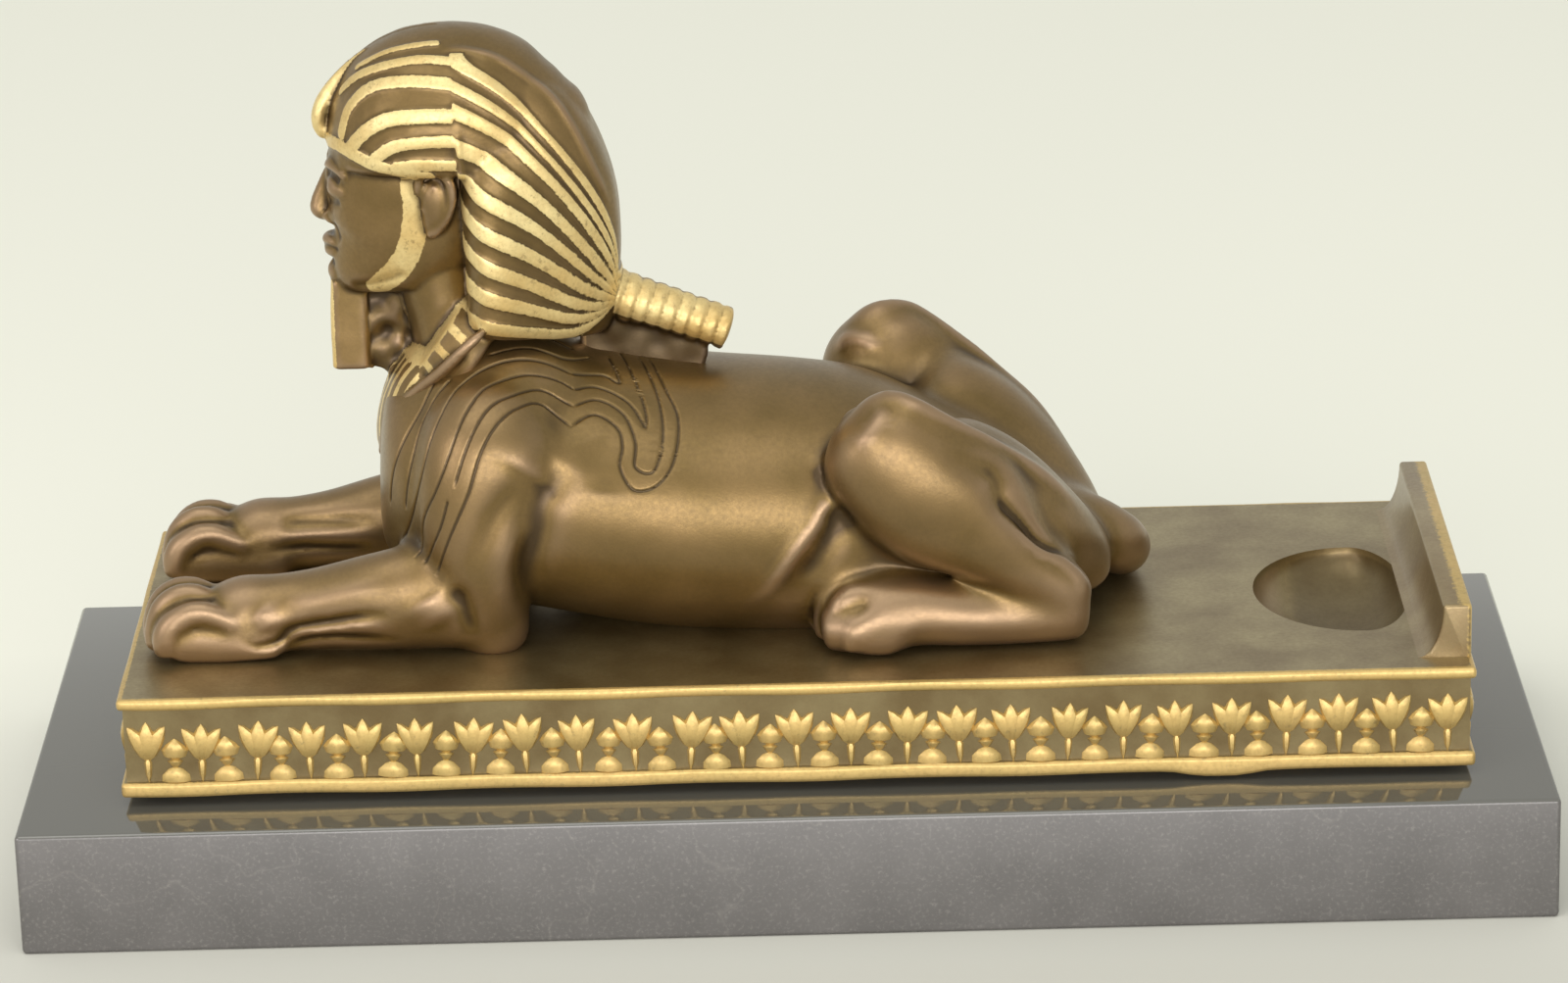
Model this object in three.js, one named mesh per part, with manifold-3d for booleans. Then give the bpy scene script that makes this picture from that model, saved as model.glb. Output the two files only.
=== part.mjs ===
// A recumbent sphinx cast in bronze on a bronze plinth, mounted on a polished black marble slab.
// Millimetres, +Z up. The sphinx faces -X. The origin is the middle of the slab's underside.
import * as THREE from "three";
import { mergeVertices } from "three/addons/utils/BufferGeometryUtils.js";
import Module from "manifold-3d";

const wasm = await Module();
wasm.setup();

// The figure is drawn 121.6 high from the plinth's floor to the crown of the headcloth. Its
// stations are millimetres at that height, and all of them grow with FIGURE_HEIGHT.
const DRAWN_HEIGHT = 121.6;
const FIGURE_HEIGHT = 121.6;
const FIGURE_SCALE = FIGURE_HEIGHT / DRAWN_HEIGHT;
const PAW_REACH = 127.6 * FIGURE_SCALE; // from the figure's own origin to the front claws
const TAIL_REACH = 74.6 * FIGURE_SCALE; // from the figure's own origin to the back of the tail

// Bronze plinth
const PLINTH_HEIGHT = 20.5; // from the lower edge of the sides to the floor
const PLINTH_WIDTH = 96.5;
const PAW_MARGIN = 2.6; // from the plinth's front end to the claws
const TAIL_TO_BOWL = 19.9; // bare floor between the tail and the bowl
const UPPER_FILLET = 2.2; // heights of the gilt fillets above and below the frieze
const LOWER_FILLET = 3;
const FILLET_PROUD = 1.1; // how far a fillet stands out from the frieze's ground
const FOOT_HEIGHT = 2; // the foot under the casting that holds its sides clear of the marble
const FOOT_INSET = 9;

// Raised end wall, and the bowl that is sunk in the floor in front of it
const WALL_HEIGHT = 10.8;
const WALL_TOP = 5.6; // thickness at the top
const WALL_FOOT = 8.6; // thickness where it meets the floor
const WALL_INSET = 6.2; // from the plinth's long sides to the wall's ends
const BOWL_REACH = 31.7; // from the bowl's tip to the foot of the wall
const BOWL_RADIUS_X = 20.6;
const BOWL_RADIUS_Y = 23.6;
const BOWL_DEPTH = 9.5;
const BOWL_OFFSET = -3.2; // the bowl lies a little nearer to the left long side

// Frieze of open lotus flowers and buds
const LOTUS_PITCH = 10.58;
const LOTUS_HEIGHT = 13.4;
const LOTUS_WIDTH = 6.6;
const BUD_HEIGHT = 9.4;
const BUD_WIDTH = 4.9;
const RELIEF = 1; // how far the flowers stand out from the ground
const FRIEZE_MARGIN = 4.2; // least ground beyond the last flower of a side

// Marble slab
const SLAB_HEIGHT = 25;
const SLAB_PAW_END = 19.8; // marble showing beyond the plinth at the paws' end
const SLAB_WALL_END = 15.2; // marble showing beyond the plinth at the wall's end
const SLAB_LEFT = 13.2; // marble showing along the sphinx's left side
const SLAB_RIGHT = 15.3;
const SLAB_ARRIS = 0.8;

// Places that follow from the sizes above
const PLINTH_LENGTH = PAW_MARGIN + PAW_REACH + TAIL_REACH + TAIL_TO_BOWL + BOWL_REACH + WALL_FOOT;
const SLAB_LENGTH = SLAB_PAW_END + PLINTH_LENGTH + SLAB_WALL_END;
const SLAB_WIDTH = SLAB_LEFT + PLINTH_WIDTH + SLAB_RIGHT;
const PLINTH_FRONT = SLAB_PAW_END - SLAB_LENGTH / 2;
const PLINTH_END = PLINTH_FRONT + PLINTH_LENGTH;
const PLINTH_Y = SLAB_LEFT + PLINTH_WIDTH / 2 - SLAB_WIDTH / 2;
const FLOOR = SLAB_HEIGHT + FOOT_HEIGHT + PLINTH_HEIGHT;
const FIGURE_X = PLINTH_FRONT + PAW_MARGIN + PAW_REACH;
const BOWL_TIP = FIGURE_X + TAIL_REACH + TAIL_TO_BOWL;

const bronze = new THREE.MeshStandardMaterial({ color: 0x5b4526, roughness: 0.38, metalness: 1 });
const giltBronze = new THREE.MeshStandardMaterial({ color: 0x8c6f35, roughness: 0.42, metalness: 1 });
const blackMarble = new THREE.MeshStandardMaterial({ color: 0x1c1b1d, roughness: 0.12, metalness: 0 });

// A closed geometry as a solid that can be joined and cut.
function solid(geometry) {
  const bare = geometry.clone();
  bare.deleteAttribute("normal");
  bare.deleteAttribute("uv");
  const merged = mergeVertices(bare, 1e-4);
  const triVerts = new Uint32Array(merged.index.array);
  const vertProperties = new Float32Array(merged.attributes.position.array);
  return new wasm.Manifold(new wasm.Mesh({ numProp: 3, vertProperties, triVerts }));
}

function geometryOf(manifold) {
  const mesh = manifold.getMesh();
  const geometry = new THREE.BufferGeometry();
  geometry.setAttribute("position", new THREE.BufferAttribute(mesh.vertProperties, 3));
  geometry.setIndex(new THREE.BufferAttribute(mesh.triVerts, 1));
  geometry.computeVertexNormals();
  return geometry;
}

function joined(solids) {
  return solids.reduce((whole, next) => whole.add(next));
}

// A smooth run through rows of numbers, t from 0 at the first row to 1 at the last.
function along(rows, t) {
  const span = Math.min(Math.max(t, 0), 1) * (rows.length - 1);
  const i = Math.min(Math.floor(span), rows.length - 2);
  const f = span - i;
  const [a, b, c, d] = [i - 1, i, i + 1, i + 2].map((k) => rows[Math.min(Math.max(k, 0), rows.length - 1)]);
  return b.map((_, k) => {
    const tangentIn = (c[k] - a[k]) / 2;
    const tangentOut = (d[k] - b[k]) / 2;
    const f2 = f * f;
    const f3 = f2 * f;
    return (
      (2 * f3 - 3 * f2 + 1) * b[k] + (f3 - 2 * f2 + f) * tangentIn + (3 * f2 - 2 * f3) * c[k] + (f3 - f2) * tangentOut
    );
  });
}

// A closed form whose rings follow stations [x, y, z, half width, half depth, taper]. The width lies
// along Y where the path lets it, the depth across it. Both ends are rounded over the share `round`
// of the path. `square` over 2 fills the corners of the section, and a taper widens one face of it.
function form(stations, sides, rings, { round = 0.12, square = 2 } = {}) {
  const rows = stations.map((s) => [...s, 0].slice(0, 6));
  const sphere = new THREE.SphereGeometry(1, sides, rings);
  const position = sphere.attributes.position;
  const corner = (v) => Math.sign(v) * Math.abs(v) ** (2 / square);
  const across = new THREE.Vector3(0, 1, 0);
  const point = new THREE.Vector3();
  for (let ring = 0; ring <= rings; ring++) {
    const even = ring / rings;
    const t = (even + 0.5 - 0.5 * Math.cos(Math.PI * even)) / 2;
    const [x, y, z, width, depth, taper] = along(rows, t);
    const before = along(rows, t - 0.01);
    const after = along(rows, t + 0.01);
    const heading = new THREE.Vector3(after[0] - before[0], after[1] - before[1], after[2] - before[2]).normalize();
    across.addScaledVector(heading, -across.dot(heading)).normalize();
    const over = new THREE.Vector3().crossVectors(heading, across);
    const toEnd = Math.min(t, 1 - t);
    const cap = toEnd < round ? Math.sqrt(1 - (1 - toEnd / round) ** 2) : 1;
    for (let side = 0; side <= sides; side++) {
      const angle = (-2 * Math.PI * (side % sides)) / sides;
      const c = corner(Math.cos(angle));
      const s = corner(Math.sin(angle));
      point.set(x, y, z);
      point.addScaledVector(across, width * cap * c * (1 + taper * s));
      point.addScaledVector(over, depth * cap * s);
      position.setXYZ(ring * (sides + 1) + side, point.x, point.y, point.z);
    }
  }
  return solid(sphere);
}

// The same form on the sphinx's left and right.
function pair(stations, sides, rings, options) {
  const mirrored = stations.map(([x, y, ...rest]) => [x, -y, ...rest]);
  return [form(stations, sides, rings, options), form(mirrored, sides, rings, options)];
}

// A box by its lowest and highest corners.
function block([x0, y0, z0], [x1, y1, z1]) {
  const box = new THREE.BoxGeometry(x1 - x0, y1 - y0, z1 - z0);
  box.translate((x0 + x1) / 2, (y0 + y1) / 2, (z0 + z1) / 2);
  return solid(box);
}

// A flat outline in the XZ plane, given thickness along Y about the middle plane.
function plate(outline, thickness) {
  const shape = new THREE.Shape(outline.map(([x, z]) => new THREE.Vector2(x, z)));
  const geometry = new THREE.ExtrudeGeometry(shape, { depth: thickness, bevelEnabled: false });
  return geometry.rotateX(Math.PI / 2).translate(0, thickness / 2, 0);
}

function trunk() {
  const barrel = form(
    [
      [-79.8, 0, 29.5, 11, 14],
      [-77, 0, 29.5, 19, 18.5],
      [-70.5, 0, 30, 26, 23.5],
      [-57, 0, 30.5, 30.5, 26.5],
      [-42, 0, 28, 32, 27],
      [-20, 0, 24, 32, 27.3],
      [2, 0, 22, 31, 27.2],
      [15, 0, 20.5, 29, 26],
      [32, 0, 16, 25, 20],
      [48, 0, 12, 19, 14],
      [62, 0, 7, 10, 10],
    ],
    16,
    11,
    { round: 0.05 },
  );
  const shoulders = form(
    [
      [-74, 0, 42, 14, 11],
      [-64, 0, 44, 23, 15],
      [-51, 0, 45, 25, 16],
      [-40, 0, 44, 20, 12],
      [-30, 0, 44, 12, 8],
    ],
    12,
    6,
  );
  return [barrel, shoulders];
}

function forelegs() {
  const upperArm = pair(
    [
      [-53, 13, 50, 9, 11],
      [-56, 21, 41, 11.5, 14.5],
      [-59, 25, 28, 9.4, 12.5],
      [-59, 25.5, 17, 7.5, 9.5],
      [-57.5, 24.4, 8, 6.3, 7.5],
      [-56.5, 23.6, -2, 5.4, 7],
    ],
    8,
    7,
  );
  const forearm = pair(
    [
      [-52, 24, 9, 6, 7],
      [-60, 24.3, 10.5, 7.5, 10],
      [-70, 24, 11.2, 8, 11],
      [-81, 23.5, 10, 7.8, 10],
      [-92, 22.8, 8.6, 7.2, 8.5],
      [-101, 22.4, 7.8, 7, 8],
      [-106, 22.4, 7.8, 7.2, 8],
      [-112, 22.4, 6.4, 7.5, 6.8],
      [-119, 22.4, 5.4, 7.8, 5.6],
    ],
    8,
    10,
    { round: 0.06 },
  );
  return [...upperArm, ...forearm, ...toes(-127.6, 22.4, 4, 15.2, 7.8, 0, 0.7)];
}

// Four toes side by side on each foot, the first of them outermost. The foremost ends at `tip` and
// arches over a knuckle `high` above the floor. Each toe inwards stands higher by `rise`, and each
// outwards ends further back by `slant`.
function toes(tip, y, spacing, high, length, rise, slant) {
  const made = [];
  for (const side of [1, -1]) {
    for (const inward of [0, 1, 2, 3]) {
      const outer = inward % 3 === 0;
      const end = tip + (3 - inward) * slant + (outer ? 1.2 : 0);
      const top = high + inward * rise - (outer ? 2.2 : 0);
      const at = side * (y + (1.5 - inward) * spacing);
      made.push(
        form(
          [
            [end + length * 2.4, at, top * 0.5, 2, 2.4],
            [end + length * 1.3, at, top - 2.7, 2.1, 2.7],
            [end + length * 0.6, at, top - 4.6, 2.4, 3],
            [end + 2.6, at, 5, 2.5, 3.1],
            [end + 2.2, at, 1, 2, 2.2],
          ],
          5,
          5,
        ),
      );
    }
  }
  return made;
}

function hindquarters() {
  const thigh = pair(
    [
      [14, 27, 48.5, 5.5, 6.5],
      [18.5, 28, 43, 9.5, 12.3],
      [27.4, 28.5, 33.8, 10.8, 14.4],
      [37, 28, 26.8, 10, 13.8],
      [47, 28.5, 17.5, 7.5, 7.8],
      [56, 28.5, 11.5, 5.6, 5.2],
      [60, 28, 8, 4.6, 4.6],
    ],
    12,
    8,
    { round: 0.14 },
  );
  const rump = pair(
    [
      [27, 19, 36, 11, 11.5],
      [40, 18, 29, 12.5, 12],
      [51, 15, 20, 11.5, 10],
      [58, 10, 12, 8.5, 8],
      [61, 7, 5, 7, 6],
    ],
    8,
    5,
  );
  const foot = pair(
    [
      [61, 28, 6, 4.6, 6],
      [52, 28.5, 6, 5.6, 6],
      [37, 29, 6.4, 6.5, 6.4],
      [24, 29, 8, 7.4, 7.4],
      [16, 29, 8, 7.6, 7],
    ],
    8,
    5,
  );
  return [...thigh, ...rump, ...foot, ...toes(4.4, 29.2, 3.9, 13, 6.6, 1.6, 2)];
}

function tail() {
  return form(
    [
      [54, 0, 19, 6, 5],
      [62, 0.5, 14.5, 6.5, 6],
      [68, 2.5, 9, 6.4, 6.6],
      [68.5, 11, 5.6, 6, 5.8],
      [66, 24, 4.4, 4.6, 4.4],
      [58, 35, 3.8, 4, 3.8],
      [44, 40, 3.4, 3.6, 3.4],
      [28, 41.5, 3.4, 3.6, 3.4],
      [18, 41.5, 3.6, 4.2, 3.8],
      [10, 41, 3, 2.4, 2.6],
    ],
    6,
    12,
    { round: 0.06 },
  );
}

function head() {
  const skull = form(
    [
      [-77.5, 0, 67.5, 5, 7],
      [-77, 0, 71.5, 8.5, 10.8],
      [-73.6, 0, 78, 11.4, 14.8],
      [-71, 0, 86, 12.6, 17.2],
      [-69.6, 0, 95, 13, 17.2],
      [-68, 0, 104, 10, 13],
    ],
    12,
    7,
    { square: 2.3 },
  );
  const neck = form(
    [
      [-66, 0, 46, 15, 13],
      [-67, 0, 58, 10.5, 9.5],
      [-67.5, 0, 68, 9.5, 8.5],
      [-68, 0, 78, 9.5, 8.5],
    ],
    8,
    4,
  );
  const nose = form(
    [
      [-86.4, 0, 93.5, 1.5, 1.6],
      [-88.3, 0, 88.5, 1.7, 2],
      [-89.6, 0, 84, 2.6, 2.6],
      [-87.4, 0, 81.6, 2.4, 1.8],
    ],
    6,
    5,
  );
  const mouth = form(
    [
      [-82.8, -5, 77.2, 1.2, 1.2],
      [-86.7, -2.4, 77.4, 1.9, 1.8],
      [-87.3, 0, 77.3, 1.9, 1.9],
      [-86.7, 2.4, 77.4, 1.9, 1.8],
      [-82.8, 5, 77.2, 1.2, 1.2],
    ],
    6,
    5,
  );
  const brows = pair(
    [
      [-86.6, 1.2, 93.2, 1, 1.2],
      [-86.2, 5.4, 95, 1.2, 1.2],
      [-82.8, 10, 93.6, 1, 1],
    ],
    5,
    3,
  );
  const eyes = pair(
    [
      [-86, 2.4, 90.4, 0.8, 0.8],
      [-85.2, 5.8, 90.8, 1.8, 1.7],
      [-82, 9, 90.4, 0.8, 0.8],
    ],
    6,
    4,
  );
  const ears = pair(
    [
      [-66, 12, 94, 1.6, 2.4],
      [-65, 13.2, 91, 2.2, 3.6],
      [-65.4, 13, 86.5, 2.1, 3],
      [-66.8, 11.8, 82.5, 1.6, 1.8],
    ],
    6,
    4,
  );
  return [skull, neck, nose, mouth, ...brows, ...eyes, ...ears];
}

function headcloth() {
  const cap = form(
    [
      [-61, 0, 94.2, 16.4, 26, 0.1],
      [-61.2, 0, 98, 17.4, 26.6, 0.15],
      [-62.4, 0, 105, 17.4, 24.6, 0.15],
      [-62.8, 0, 111, 15.6, 21.4, 0.1],
      [-62.8, 0, 116.5, 12.4, 16.4, 0],
      [-62.8, 0, 120, 7, 10, 0],
      [-62.8, 0, 121.6, 2, 3, 0],
    ],
    16,
    8,
    { round: 0.06 },
  );
  const bag = form(
    [
      [-47, 0, 60.4, 12, 8.5, 0.5],
      [-45.4, 0, 64, 14.6, 14, 0.5],
      [-45, 0, 75, 15.2, 15, 0.5],
      [-45.6, 0, 86, 15.6, 15.2, 0.45],
      [-47.6, 0, 96, 15.6, 13.8, 0.35],
      [-51, 0, 103.5, 14, 12, 0.2],
      [-55, 0, 110, 10, 8, 0],
    ],
    16,
    9,
    { round: 0.05, square: 3 },
  );
  const cobra = form(
    [
      [-87, 0, 99, 1.4, 1.4],
      [-88.6, 0, 101.6, 2, 1.4],
      [-88.4, 0, 104.6, 2.4, 1.5],
      [-86.2, 0, 108.6, 1.4, 1.5],
      [-82, 0, 113, 1.2, 1.5],
      [-77, 0, 117, 1, 1.2],
    ],
    6,
    7,
  );
  return [cap, bag, cobra];
}

// The queue of the headcloth: a tapering roll bound by raised turns of cord.
const QUEUE_TURNS = 11;
function queue() {
  const start = [-33, 0, 66.5, 4.6, 4.6];
  const end = [-9, 0, 57.6, 3.5, 3.5];
  const stations = [];
  for (let k = 0; k <= 2 * QUEUE_TURNS; k++) {
    const t = k / (2 * QUEUE_TURNS);
    const swell = k % 2 ? 0.35 : -0.25;
    stations.push(start.map((v, i) => v + (end[i] - v) * t + (i > 2 ? swell : 0)));
  }
  const web = plate(
    [
      [-39, 64],
      [-33, 63],
      [-12, 56],
      [-12, 46],
      [-39, 46],
    ],
    3.2,
  );
  return [form(stations, 6, 2 * QUEUE_TURNS, { round: 0.04 }), solid(web)];
}

function beard() {
  const block = form(
    [
      [-83.6, 0, 70, 2.6, 4.2],
      [-83.4, 0, 64, 2.9, 4.8],
      [-83.2, 0, 57, 3.3, 5],
      [-83.2, 0, 51.6, 3.6, 5.1],
    ],
    8,
    4,
    { round: 0.03, square: 6 },
  );
  const web = plate(
    [
      [-80, 69],
      [-70, 69],
      [-70, 48],
      [-77, 50.5],
      [-80, 52.5],
    ],
    3,
  );
  return [block, solid(web)];
}

function collar() {
  return [
    form(
      [
        [-78.6, 0, 35.4, 4, 2.4],
        [-76.4, 0, 42, 11, 4.4],
        [-70.4, 0, 49, 17, 7.4],
        [-67, 0, 56, 18, 9],
        [-63, 0, 63, 13, 9],
      ],
      10,
      5,
      { round: 0.1 },
    ),
  ];
}

function figure() {
  const whole = joined([
    ...trunk(),
    ...forelegs(),
    ...hindquarters(),
    tail(),
    ...head(),
    ...headcloth(),
    ...queue(),
    ...beard(),
    ...collar(),
  ]);
  const under = block([-200, -100, -60], [200, 100, 0]);
  const mesh = new THREE.Mesh(geometryOf(whole.subtract(under)), bronze);
  mesh.geometry.scale(FIGURE_SCALE, FIGURE_SCALE, FIGURE_SCALE);
  mesh.name = "sphinx_figure";
  mesh.position.set(FIGURE_X, PLINTH_Y, FLOOR);
  return mesh;
}

// Outline of an open lotus on its stem, standing on the lower fillet.
function lotusOutline() {
  const half = LOTUS_WIDTH / 2;
  return [
    [-0.7, -0.5],
    [0.7, -0.5],
    [0.9, LOTUS_HEIGHT * 0.42],
    [half, LOTUS_HEIGHT * 0.9],
    [0, LOTUS_HEIGHT],
    [-half, LOTUS_HEIGHT * 0.9],
    [-0.9, LOTUS_HEIGHT * 0.42],
  ];
}

// Outline of a bud on a round foot.
function budOutline() {
  const half = BUD_WIDTH / 2;
  return [
    [-half, -0.5],
    [half, -0.5],
    [0.6, BUD_HEIGHT * 0.36],
    [half * 0.85, BUD_HEIGHT * 0.62],
    [0, BUD_HEIGHT],
    [-half * 0.85, BUD_HEIGHT * 0.62],
    [-0.6, BUD_HEIGHT * 0.36],
  ];
}

// The flowers of one side, `distance` from the plinth's middle and turned about it.
function friezeRow(length, distance, turn) {
  const gaps = Math.floor((length - 2 * FRIEZE_MARGIN) / LOTUS_PITCH);
  const sunk = 0.6;
  const row = [];
  for (let k = 0; k <= 2 * gaps; k++) {
    const flower = plate(k % 2 ? budOutline() : lotusOutline(), RELIEF + sunk);
    const x = (k / 2 - gaps / 2) * LOTUS_PITCH;
    flower.translate(x, (sunk - RELIEF) / 2 - distance, LOWER_FILLET);
    row.push(solid(flower.rotateZ(turn)));
  }
  return row;
}

function plinth() {
  const [l, w] = [PLINTH_LENGTH / 2, PLINTH_WIDTH / 2];
  const [coreL, coreW] = [l - FILLET_PROUD, w - FILLET_PROUD];
  const body = joined([
    block([-coreL, -coreW, 0], [coreL, coreW, PLINTH_HEIGHT]),
    block([-l, -w, 0], [l, w, LOWER_FILLET]),
    block([-l, -w, PLINTH_HEIGHT - UPPER_FILLET], [l, w, PLINTH_HEIGHT]),
    block([FOOT_INSET - l, FOOT_INSET - w, -FOOT_HEIGHT], [l - FOOT_INSET, w - FOOT_INSET, 1]),
    endWall(),
    ...[0, Math.PI].flatMap((turn) => friezeRow(2 * coreL, coreW, turn)),
    ...[Math.PI / 2, -Math.PI / 2].flatMap((turn) => friezeRow(2 * coreW, coreL, turn)),
  ]);
  const mesh = new THREE.Mesh(geometryOf(body.subtract(bowl())), giltBronze);
  mesh.name = "bronze_plinth";
  mesh.position.set(PLINTH_FRONT + l, PLINTH_Y, SLAB_HEIGHT + FOOT_HEIGHT);
  return mesh;
}

// The wall across the plinth's far end, with a hollow inner face.
function endWall() {
  const outer = PLINTH_LENGTH / 2 - 0.4;
  const foot = outer - WALL_FOOT;
  const crest = outer - WALL_TOP;
  const profile = new THREE.Shape();
  profile.moveTo(foot, -1);
  profile.lineTo(outer, -1);
  profile.lineTo(outer, WALL_HEIGHT);
  profile.lineTo(crest, WALL_HEIGHT);
  profile.quadraticCurveTo(crest, WALL_HEIGHT * 0.4, foot, 0);
  const outline = profile.getPoints(4).map((p) => [p.x, p.y]);
  return solid(plate(outline, PLINTH_WIDTH - 2 * WALL_INSET).translate(0, 0, PLINTH_HEIGHT));
}

// What is cut away for the bowl: half an egg, ended by the foot of the wall.
function bowl() {
  const egg = new THREE.SphereGeometry(1, 24, 12);
  egg.rotateX(Math.PI / 2);
  egg.scale(BOWL_RADIUS_X, BOWL_RADIUS_Y, BOWL_DEPTH);
  const tip = BOWL_TIP - PLINTH_FRONT - PLINTH_LENGTH / 2;
  egg.translate(tip + BOWL_RADIUS_X, BOWL_OFFSET, PLINTH_HEIGHT);
  const keep = block(
    [tip - 1, -PLINTH_WIDTH / 2, PLINTH_HEIGHT - BOWL_DEPTH - 1],
    [tip + BOWL_REACH, PLINTH_WIDTH / 2, PLINTH_HEIGHT + BOWL_DEPTH + 1],
  );
  return solid(egg).intersect(keep);
}

function slab() {
  const [l, w, a] = [SLAB_LENGTH / 2 - SLAB_ARRIS, SLAB_WIDTH / 2 - SLAB_ARRIS, SLAB_ARRIS];
  const plan = new THREE.Shape([
    new THREE.Vector2(-l, -w),
    new THREE.Vector2(l, -w),
    new THREE.Vector2(l, w),
    new THREE.Vector2(-l, w),
  ]);
  const geometry = new THREE.ExtrudeGeometry(plan, {
    depth: SLAB_HEIGHT - 2 * a,
    bevelThickness: a,
    bevelSize: a,
    bevelSegments: 1,
  });
  geometry.translate(0, 0, a);
  const mesh = new THREE.Mesh(geometryOf(solid(geometry)), blackMarble);
  mesh.name = "marble_slab";
  return mesh;
}

const sphinx = new THREE.Group();
sphinx.add(slab(), plinth(), figure());
export default sphinx;
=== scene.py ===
"""A cast bronze sphinx with gilt headcloth on a gilt-edged bronze tray and a black marble slab."""

import math
import random

import bmesh
import bpy
import numpy as np
from mathutils import Matrix, Vector
from mathutils.bvhtree import BVHTree
from mathutils.kdtree import KDTree


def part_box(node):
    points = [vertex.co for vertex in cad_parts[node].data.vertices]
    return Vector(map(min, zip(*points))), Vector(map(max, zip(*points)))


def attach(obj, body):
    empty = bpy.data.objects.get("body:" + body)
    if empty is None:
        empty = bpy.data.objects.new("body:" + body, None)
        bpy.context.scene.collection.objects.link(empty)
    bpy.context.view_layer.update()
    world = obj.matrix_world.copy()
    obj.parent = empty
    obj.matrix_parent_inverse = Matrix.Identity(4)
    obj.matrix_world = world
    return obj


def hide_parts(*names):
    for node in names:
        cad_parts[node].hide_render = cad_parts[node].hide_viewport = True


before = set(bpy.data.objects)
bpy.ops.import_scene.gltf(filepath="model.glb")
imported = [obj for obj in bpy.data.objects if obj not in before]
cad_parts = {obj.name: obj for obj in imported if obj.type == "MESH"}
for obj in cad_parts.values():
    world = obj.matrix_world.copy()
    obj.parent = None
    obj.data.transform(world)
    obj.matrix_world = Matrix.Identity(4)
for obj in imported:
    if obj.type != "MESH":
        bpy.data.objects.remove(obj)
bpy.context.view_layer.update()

MM = 0.001

# The places that the solids give, in millimetres.
SLAB_LOW, SLAB_HIGH = (np.array(corner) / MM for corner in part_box("marble_slab"))
TRAY_LOW, TRAY_HIGH = (np.array(corner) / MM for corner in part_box("bronze_plinth"))
TRAY_MIDDLE = (TRAY_LOW + TRAY_HIGH) / 2
TRAY_HALF = (TRAY_HIGH - TRAY_LOW) / 2
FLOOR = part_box("sphinx_figure")[0][2] / MM
FIGURE_PLACE = np.array([0, TRAY_MIDDLE[1], FLOOR])


# Making shapes, meshes and the fields that the materials read.


def along(rows, t):
    """A smooth run through rows of numbers, t from 0 at the first row to 1 at the last."""
    span = min(max(t, 0), 1) * (len(rows) - 1)
    i = min(int(span), len(rows) - 2)
    f = span - i
    a, b, c, d = (rows[min(max(k, 0), len(rows) - 1)] for k in (i - 1, i, i + 1, i + 2))
    lead_in = (c - a) / 2
    lead_out = (d - b) / 2
    held = (2 * f**3 - 3 * f**2 + 1) * b + (f**3 - 2 * f**2 + f) * lead_in
    return held + (3 * f**2 - 2 * f**3) * c + (f**3 - f**2) * lead_out


def form(bm, stations, sides=40, rings=36, round=0.12, square=2.0):
    """Adds a closed form whose rings follow stations [x, y, z, half width, half depth, taper]."""
    rows = np.array([(list(s) + [0])[:6] for s in stations], float)
    across = np.array([0.0, 1.0, 0.0])
    frames = []
    for ring in range(rings + 1):
        even = ring / rings
        t = (even + 0.5 - 0.5 * math.cos(math.pi * even)) / 2
        row = along(rows, t)
        heading = (along(rows, t + 0.01) - along(rows, t - 0.01))[:3]
        heading /= np.linalg.norm(heading)
        across = across - heading * (across @ heading)
        across /= np.linalg.norm(across)
        to_end = min(t, 1 - t)
        cap = math.sqrt(max(1 - (1 - to_end / round) ** 2, 0)) if to_end < round else 1
        frames.append((row, across, np.cross(heading, across), cap))
    made = bmesh.ops.create_uvsphere(bm, u_segments=sides, v_segments=rings, radius=1)
    for vert in made["verts"]:
        ring = int(math.acos(min(max(vert.co.z, -1), 1)) / math.pi * rings + 0.5)
        angle = math.atan2(vert.co.y, vert.co.x)
        (x, y, z, width, depth, taper), side_way, over, cap = frames[ring]
        c, s = math.cos(angle), math.sin(angle)
        c = math.copysign(abs(c) ** (2 / square), c)
        s = math.copysign(abs(s) ** (2 / square), s)
        wide = width * cap * c * (1 + taper * s)
        vert.co = Vector(np.array([x, y, z]) + side_way * wide + over * (depth * cap * s))
    return made["verts"]


def pair(bm, stations, **how):
    """The same form on the left and the right."""
    mirrored = [[s[0], -s[1], *s[2:]] for s in stations]
    return form(bm, stations, **how) + form(bm, mirrored, **how)


def plate(bm, outline, near, far):
    """A flat outline in the XZ plane, given thickness from one y to another."""
    corners = [bm.verts.new((x, near, z)) for x, z in outline]
    face = bm.faces.new(corners)
    grown = bmesh.ops.extrude_face_region(bm, geom=[face])["geom"]
    moved = [g for g in grown if isinstance(g, bmesh.types.BMVert)]
    bmesh.ops.translate(bm, verts=moved, vec=(0, far - near, 0))
    bmesh.ops.recalc_face_normals(bm, faces=bm.faces[:])
    return corners + moved


def block(bm, low, high):
    """A cube drawn out to fill the box between two corners."""
    whole = Matrix.Translation((low + high) / 2) @ Matrix.Diagonal([*(high - low), 1])
    bmesh.ops.create_cube(bm, size=1, matrix=whole)


def rounded(bm, edges, radius):
    bmesh.ops.bevel(
        bm, geom=edges, offset=radius, offset_type="OFFSET", segments=3, profile=0.5, affect="EDGES",
        material=-1,
    )


def cut_through(bm, place, normal, **how):
    """Cuts all faces along a plane."""
    everything = bm.verts[:] + bm.edges[:] + bm.faces[:]
    bmesh.ops.bisect_plane(bm, geom=everything, plane_co=place, plane_no=normal, **how)


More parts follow.
